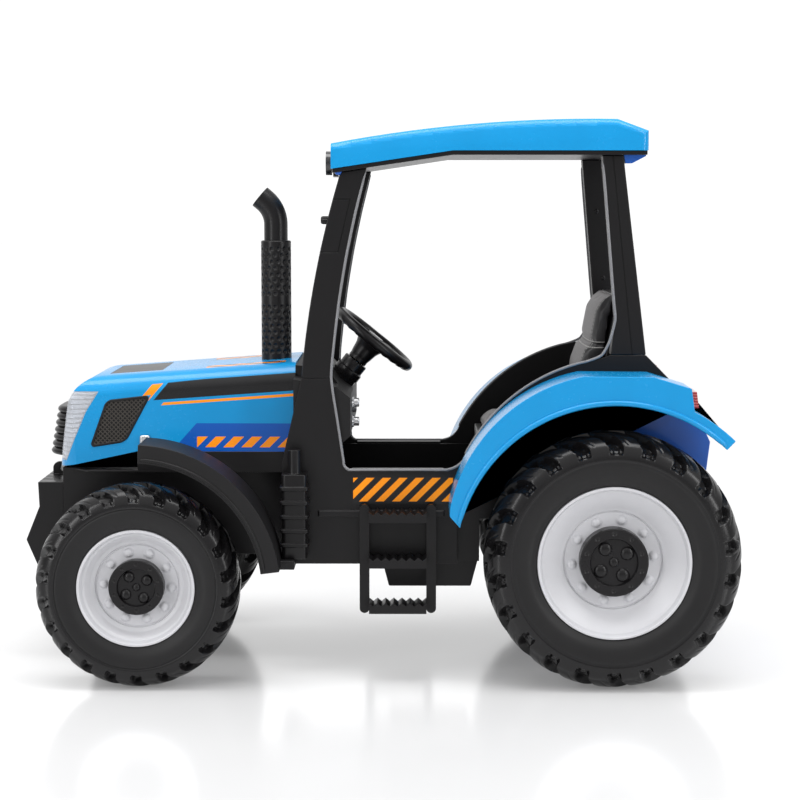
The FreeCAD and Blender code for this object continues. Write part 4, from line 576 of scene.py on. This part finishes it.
def panel_stickers(point):
    """Slanted bars on a dark field, low on the outer wall of a side panel."""
    painted = moulded(point, BLACK, 0.38, 900.0, 0.00005)
    x, y, z = point.parts()
    field = abs(y).past(0.2285, 0.0006) * x.within(-0.144, 0.040, 0.0008) * z.within(0.325, 0.377, 0.0008)
    bars = field * slanted(x, z, 0.0305, 0.5) * z.within(0.329, 0.373, 0.0008)
    painted["Base Color"] = bars.mix(field.mix(painted["Base Color"], STICKER_BLACK), shade(ORANGE, 1.0))
    painted["Roughness"] = painted["Roughness"] - 0.14 * field
    return painted


MESH_CORNERS = np.array([(506, 509), (421, 519), (469, 430), (538, 419)]) * MM
MESH_ROUND, NET_PITCH, MESH_RIM = 0.010, 0.0084, 0.0045


def beyond_mesh(x, z):
    """Distance outside the grille's rounded outline: the root of sum max(n . (p - c) + r, 0)^2, less r."""
    sides = np.roll(MESH_CORNERS, -1, 0) - MESH_CORNERS
    outward = np.stack([sides[:, 1], -sides[:, 0]], 1) / np.linalg.norm(sides, axis=1)[:, None]
    span = 0.0
    for (cx, cz), (nx, nz) in zip(MESH_CORNERS.tolist(), outward.tolist()):
        over = nx * (x - cx) + nz * (z - cz) + MESH_ROUND
        over = (over + abs(over)) * 0.5
        span = over * over + span
    return span ** 0.5 - MESH_ROUND


def mesh_plastic(point):
    """Painted shade in the holes and a painted highlight on the paler wires inside a smooth rim, and the
    hood's blue in the corners outside it.
    """
    painted = moulded(point, BLACK, 0.42, 900.0, 0.00005)
    x, _, z = point.parts()
    away = beyond_mesh(x, z)
    inside = 1 - away.past(-MESH_RIM, 0.0006)
    holes = slanted(x, z, NET_PITCH, 0.62) * slanted(x, -1.0 * z, NET_PITCH, 0.62)
    # painted shade: the holes inside the rim are painted near black
    colour = inside.mix(shade(BLACK, 1.6), (0.0012, 0.0012, 0.0012, 1))
    # painted highlight: the wires are painted paler than the black plastic
    colour = ((1 - holes) * inside).mix(colour, (0.040, 0.035, 0.031, 1))
    painted["Base Color"] = away.past(0.0, 0.0008).mix(colour, shade(BLUE, 1.0))
    return painted


def post_plastic(point):
    """Grooves in the outer faces, with painted shade in them: a framed panel high on the front post and one
    line down the rear post.
    """
    painted = moulded(point, BLACK, 0.38, 900.0, 0.00005)
    x, y, z = point.parts()
    u = x + 0.236 * (z - 0.86)
    upright = (u - 0.050).near(0.0011, 0.0006) * z.within(0.788, 0.884, 0.0006)
    level = (z - 0.884).near(0.0014, 0.0008).most((z - 0.788).near(0.0011, 0.0006))
    rear_line = (x + 0.463 - 0.107 * (z - 0.68)).near(0.0011, 0.0006)
    frame_line = upright.most(level * u.past(0.0495, 0.0006))
    groove = frame_line.most(rear_line) * abs(y).past(0.2285, 0.0006)
    # painted shade: the grooves are painted near black, on top of their relief
    painted["Base Color"] = groove.mix(painted["Base Color"], (0.0010, 0.0010, 0.0010, 1))
    painted["Normal"] = (0.02 * point.noise(900.0, 3.0) - groove).relief(0.0016)
    return painted


hood_finish = finish("hood_stickers", hood_stickers, Coat_Weight=0.18, Coat_Roughness=0.08,
                     Specular_IOR_Level=0.32)
panel_finish = finish("panel_stickers", panel_stickers, Specular_IOR_Level=0.26)
mesh_finish = finish("mesh_plastic", mesh_plastic, Specular_IOR_Level=0.26)
post_finish = finish("post_plastic", post_plastic, Specular_IOR_Level=0.26)
print("stickered finishes", hood_finish.name, panel_finish.name, mesh_finish.name)

# %% [markdown]
# CAD solids have knife edges, and nothing moulded has. A copy of a solid, with its loose triangles welded
# and its flat faces made whole again, takes a Bevel modifier, and its edges catch the light as real ones do.

# %% Rounded copies of solids
WELD, FLAT, CREASE = 1e-5, math.radians(0.4), math.radians(32)


def welded(node, name, material, whole):
    """A copy of a solid with doubled points merged, and its points' normals; whole joins flat faces."""
    form = bmesh.new()
    form.from_mesh(frame["nodes"][node].data)
    bmesh.ops.remove_doubles(form, verts=form.verts, dist=WELD)
    if whole:
        bmesh.ops.dissolve_limit(form, angle_limit=FLAT, verts=form.verts, edges=form.edges)
    else:
        bmesh.ops.recalc_face_normals(form, faces=form.faces)
        form.normal_update()
    normals = np.array([v.normal for v in form.verts])
    mesh = bpy.data.meshes.new(name)
    form.to_mesh(mesh)
    form.free()
    mesh.materials.clear()
    mesh.materials.append(material)
    mesh.polygons.foreach_set("material_index", np.zeros(len(mesh.polygons), np.int32))
    return put(name, mesh), normals


def rounded(node, width, material, slot, body="chassis", segments=3):
    """A welded copy of a solid with its edges rounded over by a width in millimetres."""
    piece, _ = welded(node, f"{node}_rounded", material, True)
    piece.data.polygons.foreach_set("use_smooth", np.ones(len(piece.data.polygons), bool))
    piece.data.set_sharp_from_angle(angle=CREASE)
    bevel = piece.modifiers.new("rounding", "BEVEL")
    bevel.width, bevel.segments = width * MM, segments
    bevel.limit_method, bevel.angle_limit = "ANGLE", CREASE
    bevel.harden_normals = True
    return dress(piece, body, slot, node)


def both(name):
    return f"{name}_left", f"{name}_right"


ROUNDINGS = {
    7.0: both("front_fender") + ("front_weights",),
    4.0: ("side_steps", "canisters"),
    2.5: both("side_panel") + both("front_post") + both("rear_post")
    + ("front_frame", "belly_tray", "dashboard", "seat_base"),
    1.2: ("roof_liner", "floor_pan", "hood_vent", "foot_pedal", "direction_lever", "steering_gearbox",
          "gearmotors", "exhaust_pipe"),
    0.3: ("side_grilles",),
}
bodies = {node: body for body, nodes in frame["record"]["behaviour"]["bodies"].items() for node in nodes}
special = {"side_grilles": mesh_finish, "dashboard": dark_inner}
for kind, material in (("side_panel", panel_finish), ("front_fender", satin_black),
                       ("front_post", post_finish), ("rear_post", post_finish)):
    special.update(dict.fromkeys(both(kind), material))
for width, nodes in ROUNDINGS.items():
    for node in nodes:
        rounded(node, width, special.get(node, black_plastic), "black_plastic", bodies[node])
rounded("hood", 3.0, hood_finish, "blue_shell")
rounded("roof", 12.0, blue_plastic, "blue_shell", segments=5)
for node in both("rear_fender"):
    rounded(node, 6.0, blue_plastic, "blue_shell", segments=4)
rounded("rear_panel", 4.0, tail_plastic, "tail_blue")
print("rounded copies", sum(len(nodes) for nodes in ROUNDINGS.values()) + 5)

# %% [markdown]
# A lamp on a toy is a clear cover over a bright plated bowl. The bowl is a copy of the solid, drawn in along
# its normals, and the solid itself becomes the cover by letting most of the light through.

# %% Lamps and lenses


def plated(point):
    """Bright plating with level steps 9 mm apart, painted shade in the grooves, and a little dull in patches.
    """
    clouds, z = point.noise(24.0, 3.0), point.parts()[2]
    steps = (z * 700.0).sine()
    bright = clouds.mix((0.30, 0.32, 0.38, 1), (0.58, 0.61, 0.68, 1))
    # painted shade: the grooves between the steps are painted dark
    return {"Base Color": (1 - steps.past(-0.82, 0.3)).mix(bright, (0.09, 0.09, 0.11, 1)),
            "Roughness": 0.12 + 0.14 * clouds, "Normal": steps.relief(0.0008)}


def clear_cover(point):
    """Clear plastic with faint upright flutes."""
    x, y, _ = point.parts()
    flutes = ((x + y) * 900.0).sine()
    return {"Roughness": 0.05 + 0.05 * point.noise(60.0), "Normal": flutes.relief(0.00012)}


def red_cover(point):
    """Red plastic, pressed into level ribs 5 mm apart."""
    z = point.parts()[2]
    ribs = (z * 1256.0).sine()
    clouds = point.noise(20.0)
    return {"Base Color": clouds.mix((0.30, 0.004, 0.004, 1), (0.46, 0.010, 0.008, 1)),
            "Roughness": 0.12 + 0.06 * clouds, "Normal": ribs.relief(0.0007)}


def round_lamp(point):
    """A plated bowl behind a clear face, inside a black ring 4 mm wide, about each lamp's own axis."""
    _, y, z = point.parts()
    across, up = abs(y) - 0.178, z - 0.950
    span = across * across + up * up
    ring = span.past(0.018**2, 0.00002)
    facets = point.cells(130.0)
    return {"Base Color": ring.mix((0.80, 0.82, 0.84, 1), STICKER_BLACK), "Metallic": 0.85 * (1 - ring),
            "Roughness": 0.10 + 0.25 * ring, "Normal": (facets * (1 - ring)).relief(0.0016)}


def drawn_in(node, depth, material):
    """A welded copy of a solid with every point moved inwards along its normal by a depth in millimetres."""
    piece, normals = welded(node, f"{node}_bowls", material, False)
    points = np.empty(normals.size)
    piece.data.vertices.foreach_get("co", points)
    piece.data.vertices.foreach_set("co", points - normals.ravel() * depth * MM)
    return piece


def paint(node, material):
    """Give a solid that is kept as it is a better finish."""
    slots = frame["nodes"][node].data.materials
    for index in range(len(slots)):
        slots[index] = material
    return node


plated_finish = finish("plated_bowl", plated, Metallic=0.9)
cover_finish = finish("clear_cover", clear_cover, Base_Color=(0.93, 0.96, 1.0, 1), Alpha=0.30)
red_finish = finish("red_cover", red_cover, Coat_Weight=0.6)
lamp_finish = finish("round_lamp", round_lamp, Coat_Weight=0.8)
bowls = drawn_in("headlights", 3.0, plated_finish)
dress(bowls, "chassis", "clear_lens")
paint("headlights", cover_finish)
paint("tail_lamps", red_finish)
paint("roof_lamps", lamp_finish)
print("lamp bowls", len(bowls.data.polygons), "faces")

# %% [markdown]
# Under the shell, the running gear is zinc-plated steel: grey metal with a faint drawn grain and dull spots.
# The buttons are smooth grey plastic, and the battery is a plain dark case.

# %% Running gear and buttons


def zinc(point):
    clouds, fine = point.noise(18.0, 4.0), point.noise(600.0, 2.0)
    return {"Base Color": clouds.mix((0.30, 0.30, 0.31, 1), (0.46, 0.46, 0.47, 1)),
            "Roughness": 0.30 + 0.22 * clouds, "Normal": fine.relief(0.00004)}


zinc_finish = finish("zinc_steel", zinc, Metallic=1.0)
STEEL = both("knuckle") + ("front_axle_beam", "pitman_arm", "tie_rod", "rear_axle", "steering_shaft",
                           "tow_hitch")
painted_nodes = [paint(node, zinc_finish) for node in STEEL]
painted_nodes += [paint(node, grey_plastic) for node in ("horn_button", "start_button")]
painted_nodes += [paint("battery", dark_inner)]
print("solids painted as they are", len(painted_nodes) + 3)

# %% [markdown]
# The seat has two soft pads in grained leatherette. Cloth under inner pressure gives the skin its fullness:
# the solid's shape is drawn in a little, remeshed to even squares, blown up for twenty frames, and then
# held off the moulding that carries it. Seams and stitches come after, in the finish.

# %% Seat pads
BOLSTER, STITCHES = 0.098, 135.0
PAD_SQUARE, PAD_PRESSURE, PAD_FRAMES, PAD_CLEAR = 5, 4.0, 20, 0.0004


def leatherette(point, seams):
    """Grain of small cells, dark beyond the bolster seams.

    seams(x, y, z) gives the distances from sewn lines and a run along each, in metres."""
    x, y, z = point.parts()
    grain, clouds = point.cells(520.0), point.noise(16.0, 4.0)
    height = 0.35 * grain + 0.1 * point.noise(900.0)
    colour = clouds.mix((0.118, 0.110, 0.112, 1), (0.175, 0.164, 0.168, 1))
    dark = clouds.mix((0.016, 0.015, 0.016, 1), (0.026, 0.025, 0.027, 1))
    colour = abs(y).past(BOLSTER, 0.002).mix(colour, dark)
    for away, run in seams(x, y, z):
        groove = 1 - away.past(0.0022, 0.0035)
        dash = (run * STITCHES).fraction() - 0.5
        thread = (away - 0.0052).near(0.0007, 0.0005) * dash.near(0.34, 0.06)
        height = height - 3.2 * groove + 0.9 * thread
        colour = thread.mix(colour, (0.55, 0.54, 0.52, 1))
    return {"Base Color": colour, "Roughness": 0.42 + 0.16 * clouds, "Normal": height.relief(0.0006)}


def back_seams(x, y, z):
    """Two upright seams near the sides, and one across between the two pads."""
    return [(abs(abs(y) - BOLSTER), z), (abs(z - 0.611), y)]


def cushion_seams(x, y, z):
    """Two seams from front to back, and one across behind the knees."""
    return [(abs(abs(y) - BOLSTER), x), (abs(x + 0.238), y)]


def swollen(name, node, material, seat_low, seat_high, drawn=3.5, cap=6.0):
    """A pad blown up by cloth pressure; w = (p - seat_low) . n keeps it in front of the moulding's plane."""
    form = drawn_in(node, 0.0, material)
    form.modifiers.new("squares", "REMESH").voxel_size = PAD_SQUARE * MM
    even = bpy.data.meshes.new_from_object(form.evaluated_get(bpy.context.evaluated_depsgraph_get()))
    bpy.data.objects.remove(form)
    piece = put(name, even)
    count = len(even.vertices)
    start, normals, after = (np.empty(3 * count) for _ in range(3))
    even.vertices.foreach_get("co", start)
    even.vertex_normals.foreach_get("vector", normals)
    small = start - normals * drawn * MM
    even.vertices.foreach_set("co", small)
    cloth = piece.modifiers.new("pressure", "CLOTH")
    cloth.settings.use_pressure, cloth.settings.uniform_pressure_force = True, PAD_PRESSURE
    cloth.settings.effector_weights.gravity = 0
    for moment in range(1, PAD_FRAMES + 1):
        bpy.context.scene.frame_set(moment)
    blown = piece.evaluated_get(bpy.context.evaluated_depsgraph_get())
    blown.data.vertices.foreach_get("co", after)
    piece.modifiers.clear()
    bpy.context.scene.frame_set(1)
    move = (after - small).reshape(-1, 3)
    far = np.linalg.norm(move, axis=1, keepdims=True)
    held = np.minimum(1, cap * MM / np.maximum(far, 1e-9))
    small = (small.reshape(-1, 3) + move * held).ravel()
    points = small.reshape(-1, 3)
    low, high = np.array(seat_low) * MM, np.array(seat_high) * MM
    along = (high - low) / np.linalg.norm(high - low)
    out = np.array([along[2], 0, -along[0]]) * (1 if along[2] > 0.5 else -1)
    w = (points - low) @ out
    points = points + np.outer(np.maximum(PAD_CLEAR - w, 0), out)
    even.vertices.foreach_set("co", points.ravel())
    even.polygons.foreach_set("use_smooth", np.ones(len(even.polygons), bool))
    smoother = piece.modifiers.new("smoother", "SUBSURF")
    smoother.levels = smoother.render_levels = 1
    dress(piece, "chassis", "seat_leather", node)
    moved = np.abs(points - start.reshape(-1, 3)).max() / MM
    print(name, count, "points, moved up to", round(float(moved), 1), "mm")


back_leather = finish("back_leatherette", lambda point: leatherette(point, back_seams))
cushion_leather = finish("cushion_leatherette", lambda point: leatherette(point, cushion_seams))
swollen("seat_back_pad", "seat_back", back_leather, (-402, 0, 436), (-452, 0, 704))
swollen("seat_pad", "seat_cushion", cushion_leather, (-388, 0, 420), (-196, 0, 432))

# %% [markdown]
# Small fittings finish the toy: knobs on the dashboard and the roof's front corners, a boot on the steering
# column, a latch tile on each side of the hood, screws and studs on the posts, and the bowed bars of the nose
# grille. Most are a profile turned about an axis; the tiles and the bars are heights over a grid.

# %% Small fittings


def turned_piece(name, profile, place, axis, material, slot, ribs=0, columns=72):
    """Profile (r, h) turned about an axis; ribs press the flank in by 0.5 (1 - cos(ribs a)) mm."""
    r, h = np.asarray(profile, float).T
    a = angles(columns)
    flank = (r > 0.9 * r.max())[:, None]
    r = r[:, None] - 0.5 * flank * (1 - np.cos(ribs * a[None, :])) * (ribs > 0)
    axis = np.asarray(axis, float)
    aside = np.cross(axis, (0, 0, 1) if abs(axis[2]) < 0.9 else (1, 0, 0))
    aside /= np.linalg.norm(aside)
    third = np.cross(axis, aside)
    points = (np.asarray(place) + r[..., None] * (np.cos(a)[:, None] * aside + np.sin(a)[:, None] * third)
              + h[:, None, None] * axis)
    return dress(grid_piece(name, points * MM, material, 40), "chassis", slot)


KNOB = [(11, 0.2), (11, 3), (10.2, 4), (8.6, 4.4), (8.6, 12.5), (7.8, 13.6), (3, 14.0), (0.05, 14.0)]
SCREW = [(4.2, 0.2), (4.2, 1.4), (3.4, 2.2), (1.6, 2.4), (1.5, 1.2), (0.05, 1.2)]
STUD = [(7.5, -4), (7.5, 10), (6.8, 13), (5.0, 14.5), (0.05, 14.8)]
ROOF_KNOB = [(6.5, -6), (6.5, 3), (5.8, 4.6), (3.0, 5.2), (0.05, 5.2)]
BOOT = [(18.4, 43), (23.6, 43), (24.6, 41.5), (24.6, 25), (27.6, 22.5), (27.6, 9), (25.6, 6.5), (25.6, -8)]


def tile_points(half, thick, middle, out):
    """A pillow tile: a superellipse of exponent 5 in X and Z that rises along Y by thick (1 - t^6)."""
    t = np.concatenate([np.linspace(0, 1, 14), [1.0]])[:, None]
    a = angles(64)[None, :]
    r = half / (np.abs(np.cos(a)) ** 5 + np.abs(np.sin(a)) ** 5) ** 0.2
    rise = thick * (1 - t**6)
    rise[-1] = -1.0
    return grid_of(middle[0] + t * r * np.cos(a), middle[1] + out * rise, middle[2] + t * r * np.sin(a))


def grille_points(bars=7, columns=49):
    """Bars |sin|^0.55 of the height on the nose's slope, bowed forward by 30 (1 - (y / 84)^4) mm."""
    t = np.linspace(0, 1, 141)[:, None]
    y = np.concatenate([[-83.5], np.linspace(-83.5, 83.5, columns), [83.5]])[None, :]
    z, nose = 395 + 94 * t, 598 - 16 * t
    front = nose + 8.5 * np.abs(np.sin(bars * np.pi * t)) ** 0.55 - 4 + 30 * (1 - (y / 84) ** 4)
    back = (nose - 3 + 0 * y)[::-1]
    x = np.concatenate([front, back])
    up = np.concatenate([z + 0 * y, (z + 0 * y)[::-1]])
    x[:, [0, -1]], up[:, [0, -1]] = 590.0, 442.0
    return grid_of(x, y, up)


turned_piece("column_boot", BOOT, WHEEL_MIDDLE - 98 * LAID[2], LAID[2], fine_black, "black_plastic")
grille = grid_piece("nose_grille", grille_points() * MM, black_plastic, 40, True, False)
dress(grille, "chassis", "black_plastic", "front_grille")
for name, out in SIDES:
    tile = tile_points(9.5, 2.6, (433, out * 160.6, 434), out)
    dress(grid_piece(f"hood_latch_{name}", tile * MM, silver_plastic, 50), "chassis", "horn_grey")
    for level, place in (("low", (-459, out * 194, 725)), ("high", (-444, out * 194, 860))):
        turned_piece(f"post_screw_{name}_{level}", SCREW, place, (0, -out, 0), fine_black, "black_plastic")
    turned_piece(f"post_stud_{name}", STUD, (84, out * 212, 846), (1, 0, 0), black_plastic,
                 "black_plastic", 8)
    turned_piece(f"roof_knob_{name}", ROOF_KNOB, (66, out * 233, 934), (0, out, 0), tail_plastic, "tail_blue")
for index, height in enumerate((502, 466)):
    turned_piece(f"dash_knob_{index}", KNOB, (45, 122, height), (-1, 0, 0), silver_plastic, "horn_grey", 18)

# %% [markdown]
# Rounded beads run along edges and catch long highlights: round each door opening, along the lip of each
# rear fender, and just above the edge of each front one. All are a circle carried along a path in X and Z.

# %% Beads along edges
BEAD_STEPS = 420


def arc(middle, radius, start, stop, count=14):
    """Points of an arc between two angles in degrees."""
    a = np.radians(np.linspace(start, stop, count))
    return np.stack([middle[0] + radius * np.cos(a), middle[1] + radius * np.sin(a)], 1)


DOOR_EDGE = np.concatenate([
    [(15, 935), (19.7, 920), (34.9, 860), (51.8, 780), (65.1, 700), (74.8, 620), (80, 557), (69, 480)],
    arc((44, 402), 14, 10, -90, 8), arc((-128, 432), 44, -90, -160, 10),
    arc((-460.2, 266.5), 330, 27.7, 78, 16),
    [(-416, 600), (-430, 625), (-440, 665), (-437, 700), (-430, 780), (-423, 860), (-417.8, 920),
     (-415, 950)]])
REAR_LIP = arc((-432, 234), 289, 14, 133, 60)
FRONT_LIP = arc((430, 186), 235, 93, 172, 50)


def bead_points(edge, y, radius, section=14):
    """Circle r (cos b, sin b) in the plane of the path's in-plane normal and Y, carried along an edge."""
    path = smooth_path(edge, BEAD_STEPS, 0.4)
    along = np.gradient(path, axis=0)
    along /= np.linalg.norm(along, axis=1)[:, None]
    b = angles(section)[None, :]
    size = radius * np.sqrt(np.clip(1 - np.linspace(-1, 1, BEAD_STEPS) ** 40, 0, 1))[:, None]
    x = path[:, :1] - along[:, 1:] * size * np.cos(b)
    z = path[:, 1:] + along[:, :1] * size * np.cos(b)
    return grid_of(x, y + size * np.sin(b), z)


# painted highlight: the door beads are pale grey where black trim would catch a highlight
painted_highlight_bead = plastic("painted_highlight_grey", (0.20, 0.20, 0.21), 0.18, 900.0, 0.00003)
BEADS = {
    "door_bead": (DOOR_EDGE, 230.2, 2.5, painted_highlight_bead, "horn_grey"),
    "rear_lip": (REAR_LIP, 344.5, 5.0, blue_plastic, "blue_shell"),
    "front_lip": (FRONT_LIP, 344.6, 3.2, black_plastic, "black_plastic"),
}
for kind, (edge, y, radius, material, slot) in BEADS.items():
    for name, out in SIDES:
        bead = bead_points(edge, out * y, radius)
        dress(grid_piece(f"{kind}_{name}", bead * MM, material, 60), "chassis", slot)
print("bead faces", bead.shape[0] * bead.shape[1])

# %% [markdown]
# The side grilles are nets. Their wires are raised on a plate that follows the hood's side, whose slope is
# fitted to the outer faces of the solid. A gusset under each end of the roof's rear edge closes the cab.

# %% Nets and gussets
plate = frame["nodes"]["side_grilles"].data
middles, facing = (np.empty(3 * len(plate.polygons)) for _ in range(2))
plate.polygons.foreach_get("center", middles)
plate.polygons.foreach_get("normal", facing)
middles = middles.reshape(-1, 3)[(facing[1::3] > 0.7) & (middles[1::3] > 0)]
plane = np.linalg.lstsq(np.c_[np.ones(len(middles)), middles[:, [0, 2]]], middles[:, 1], rcond=None)[0]


def net_points(out, columns=121):
    """Bilinear grid over the grille's corners, y = plane(x, z) + 1 mm on wires, and sunk under the rim."""
    u, v = np.meshgrid(np.linspace(0, 1, columns), np.linspace(0, 1, columns), indexing="ij")
    top = MESH_CORNERS[1] + (MESH_CORNERS[0] - MESH_CORNERS[1]) * u[..., None]
    low = MESH_CORNERS[2] + (MESH_CORNERS[3] - MESH_CORNERS[2]) * u[..., None]
    x, z = np.moveaxis(low + (top - low) * v[..., None], -1, 0)
    wire = np.maximum(*(step(np.abs(((x + flip * z) / NET_PITCH) % 1 - 0.5), 0.27, 0.36) for flip in (1, -1)))
    away = beyond_mesh(x, z)
    rim = step(away, -MESH_RIM - MM, -MESH_RIM) * (1 - step(away, -MM, 0.0))
    lift = np.maximum(1.4 * wire * (away < -MESH_RIM), 2.2 * rim) - 0.5 - 1.5 * (away > 0)
    return np.stack([x, out * (plane[0] + plane[1] * x + plane[2] * z + lift * MM), z], -1)


def slab_points(corners, low, high):
    """A polygon in X and Z carried from one Y to another, with its ends drawn together."""
    edge = np.asarray(corners, float)
    middle = edge.mean(0)
    rows = [(0.02, low), (1, low), (1, high), (0.02, high)]
    return np.stack([np.c_[middle[0] + (edge[:, 0] - middle[0]) * k, np.full(len(edge), y),
                           middle[1] + (edge[:, 1] - middle[1]) * k] for k, y in rows])


GUSSET = [(-452, 968), (-493, 968), (-493, 962), (-468, 949), (-456, 949)]
for name, out in SIDES:
    net = net_points(out)
    dress(grid_piece(f"side_net_{name}", net, mesh_finish, 60, False, False), "chassis", "black_plastic")
    slab = slab_points(GUSSET, out * 198, out * 226)
    dress(grid_piece(f"roof_gusset_{name}", slab * MM, tail_plastic, 30), "chassis", "tail_blue")
print("net faces", net.shape[0] * net.shape[1], "slope", plane.round(3))

# %% [markdown]
# The picture is a catalogue side view taken with a long lens from a little above, so the far wheels hide
# behind the near ones. The camera stands 3.5 m off the tractor's side and looks down by about six degrees.

# %% Camera
SENSOR, PICTURE, FOCAL = 36.0, 800, 1975.6


def stand_camera(place, down, turn, lens):
    """Put the camera at a place, looking along -Y, tipped down and turned by angles in radians."""
    data = bpy.data.cameras.new("side_camera")
    data.lens, data.sensor_width = lens, SENSOR
    camera = put("side_camera", data)
    camera.location = place
    camera.rotation_euler = (math.pi / 2 - down, 0, math.pi + turn)
    bpy.context.scene.camera = camera


stand_camera((-0.0619, 3.84, 0.882), 0.1007, 0.0043, SENSOR * FOCAL / PICTURE)

# %% [markdown]
# Catalogue light is wide and soft: a bright sweep all round, a large panel overhead, and two upright panels
# that draw long highlights down the curved plastic. The pale floor is polished enough to mirror the tyres.

# %% Studio


def panel(name, place, aim, size, watts):
    """A soft rectangular light at a place, turned to face an aim point."""
    data = bpy.data.lights.new(name, "AREA")
    data.shape, data.size, data.size_y, data.energy = "RECTANGLE", size[0], size[1], watts
    lamp = put(name, data)
    lamp.location = place
    towards = np.subtract(aim, place)
    flat = math.hypot(towards[0], towards[1])
    lamp.rotation_euler = (math.atan2(flat, -towards[2]), 0, math.atan2(-towards[0], towards[1]))


world = bpy.data.worlds.new("white_sweep")
world.use_nodes = True
world.node_tree.nodes["Background"].inputs["Color"].default_value = (1, 1, 1, 1)
sky = Socket(world.node_tree, world.node_tree.nodes.new("ShaderNodeTexCoord").outputs["Generated"])
seen = sky.node("LightPath", {}, {}, "Is Camera Ray")
across, up = sky.parts()[1:]
open_sides = up.past(0.35, 0.7).most((-1.0 * across).past(0.35, 0.9))
wash = (0.38 + 0.62 * open_sides).most(1.1 * seen)
world.node_tree.links.new(wash.output, world.node_tree.nodes["Background"].inputs["Strength"])
bpy.context.scene.world = world
bpy.context.scene.view_settings.view_transform = "Standard"
panel("overhead_panel", (0.1, 0.6, 3.2), (0, 0, 0.4), (3.2, 1.3), 70)
panel("front_panel", (2.6, 2.6, 1.5), (0.3, 0.2, 0.45), (0.5, 2.6), 34)
panel("rear_panel_light", (-2.8, 2.2, 1.6), (-0.4, 0.2, 0.45), (0.5, 2.6), 34)


def polished(point):
    clouds = point.noise(3.0)
    return {"Base Color": clouds.mix((0.66, 0.66, 0.665, 1), (0.69, 0.69, 0.695, 1)),
            "Roughness": 0.12 + 0.05 * clouds}


floor_edge = np.array([-40.0, 40.0])
floor_points = np.stack(np.meshgrid(floor_edge, floor_edge, [0.0], indexing="ij"), -1)
floor_finish = finish("pale_floor", polished, Emission_Color=(1, 1, 1, 1), Emission_Strength=0.15, IOR=2.0)
floor = make("pale_floor", floor_points, [[0, 2, 3, 1]], floor_finish)
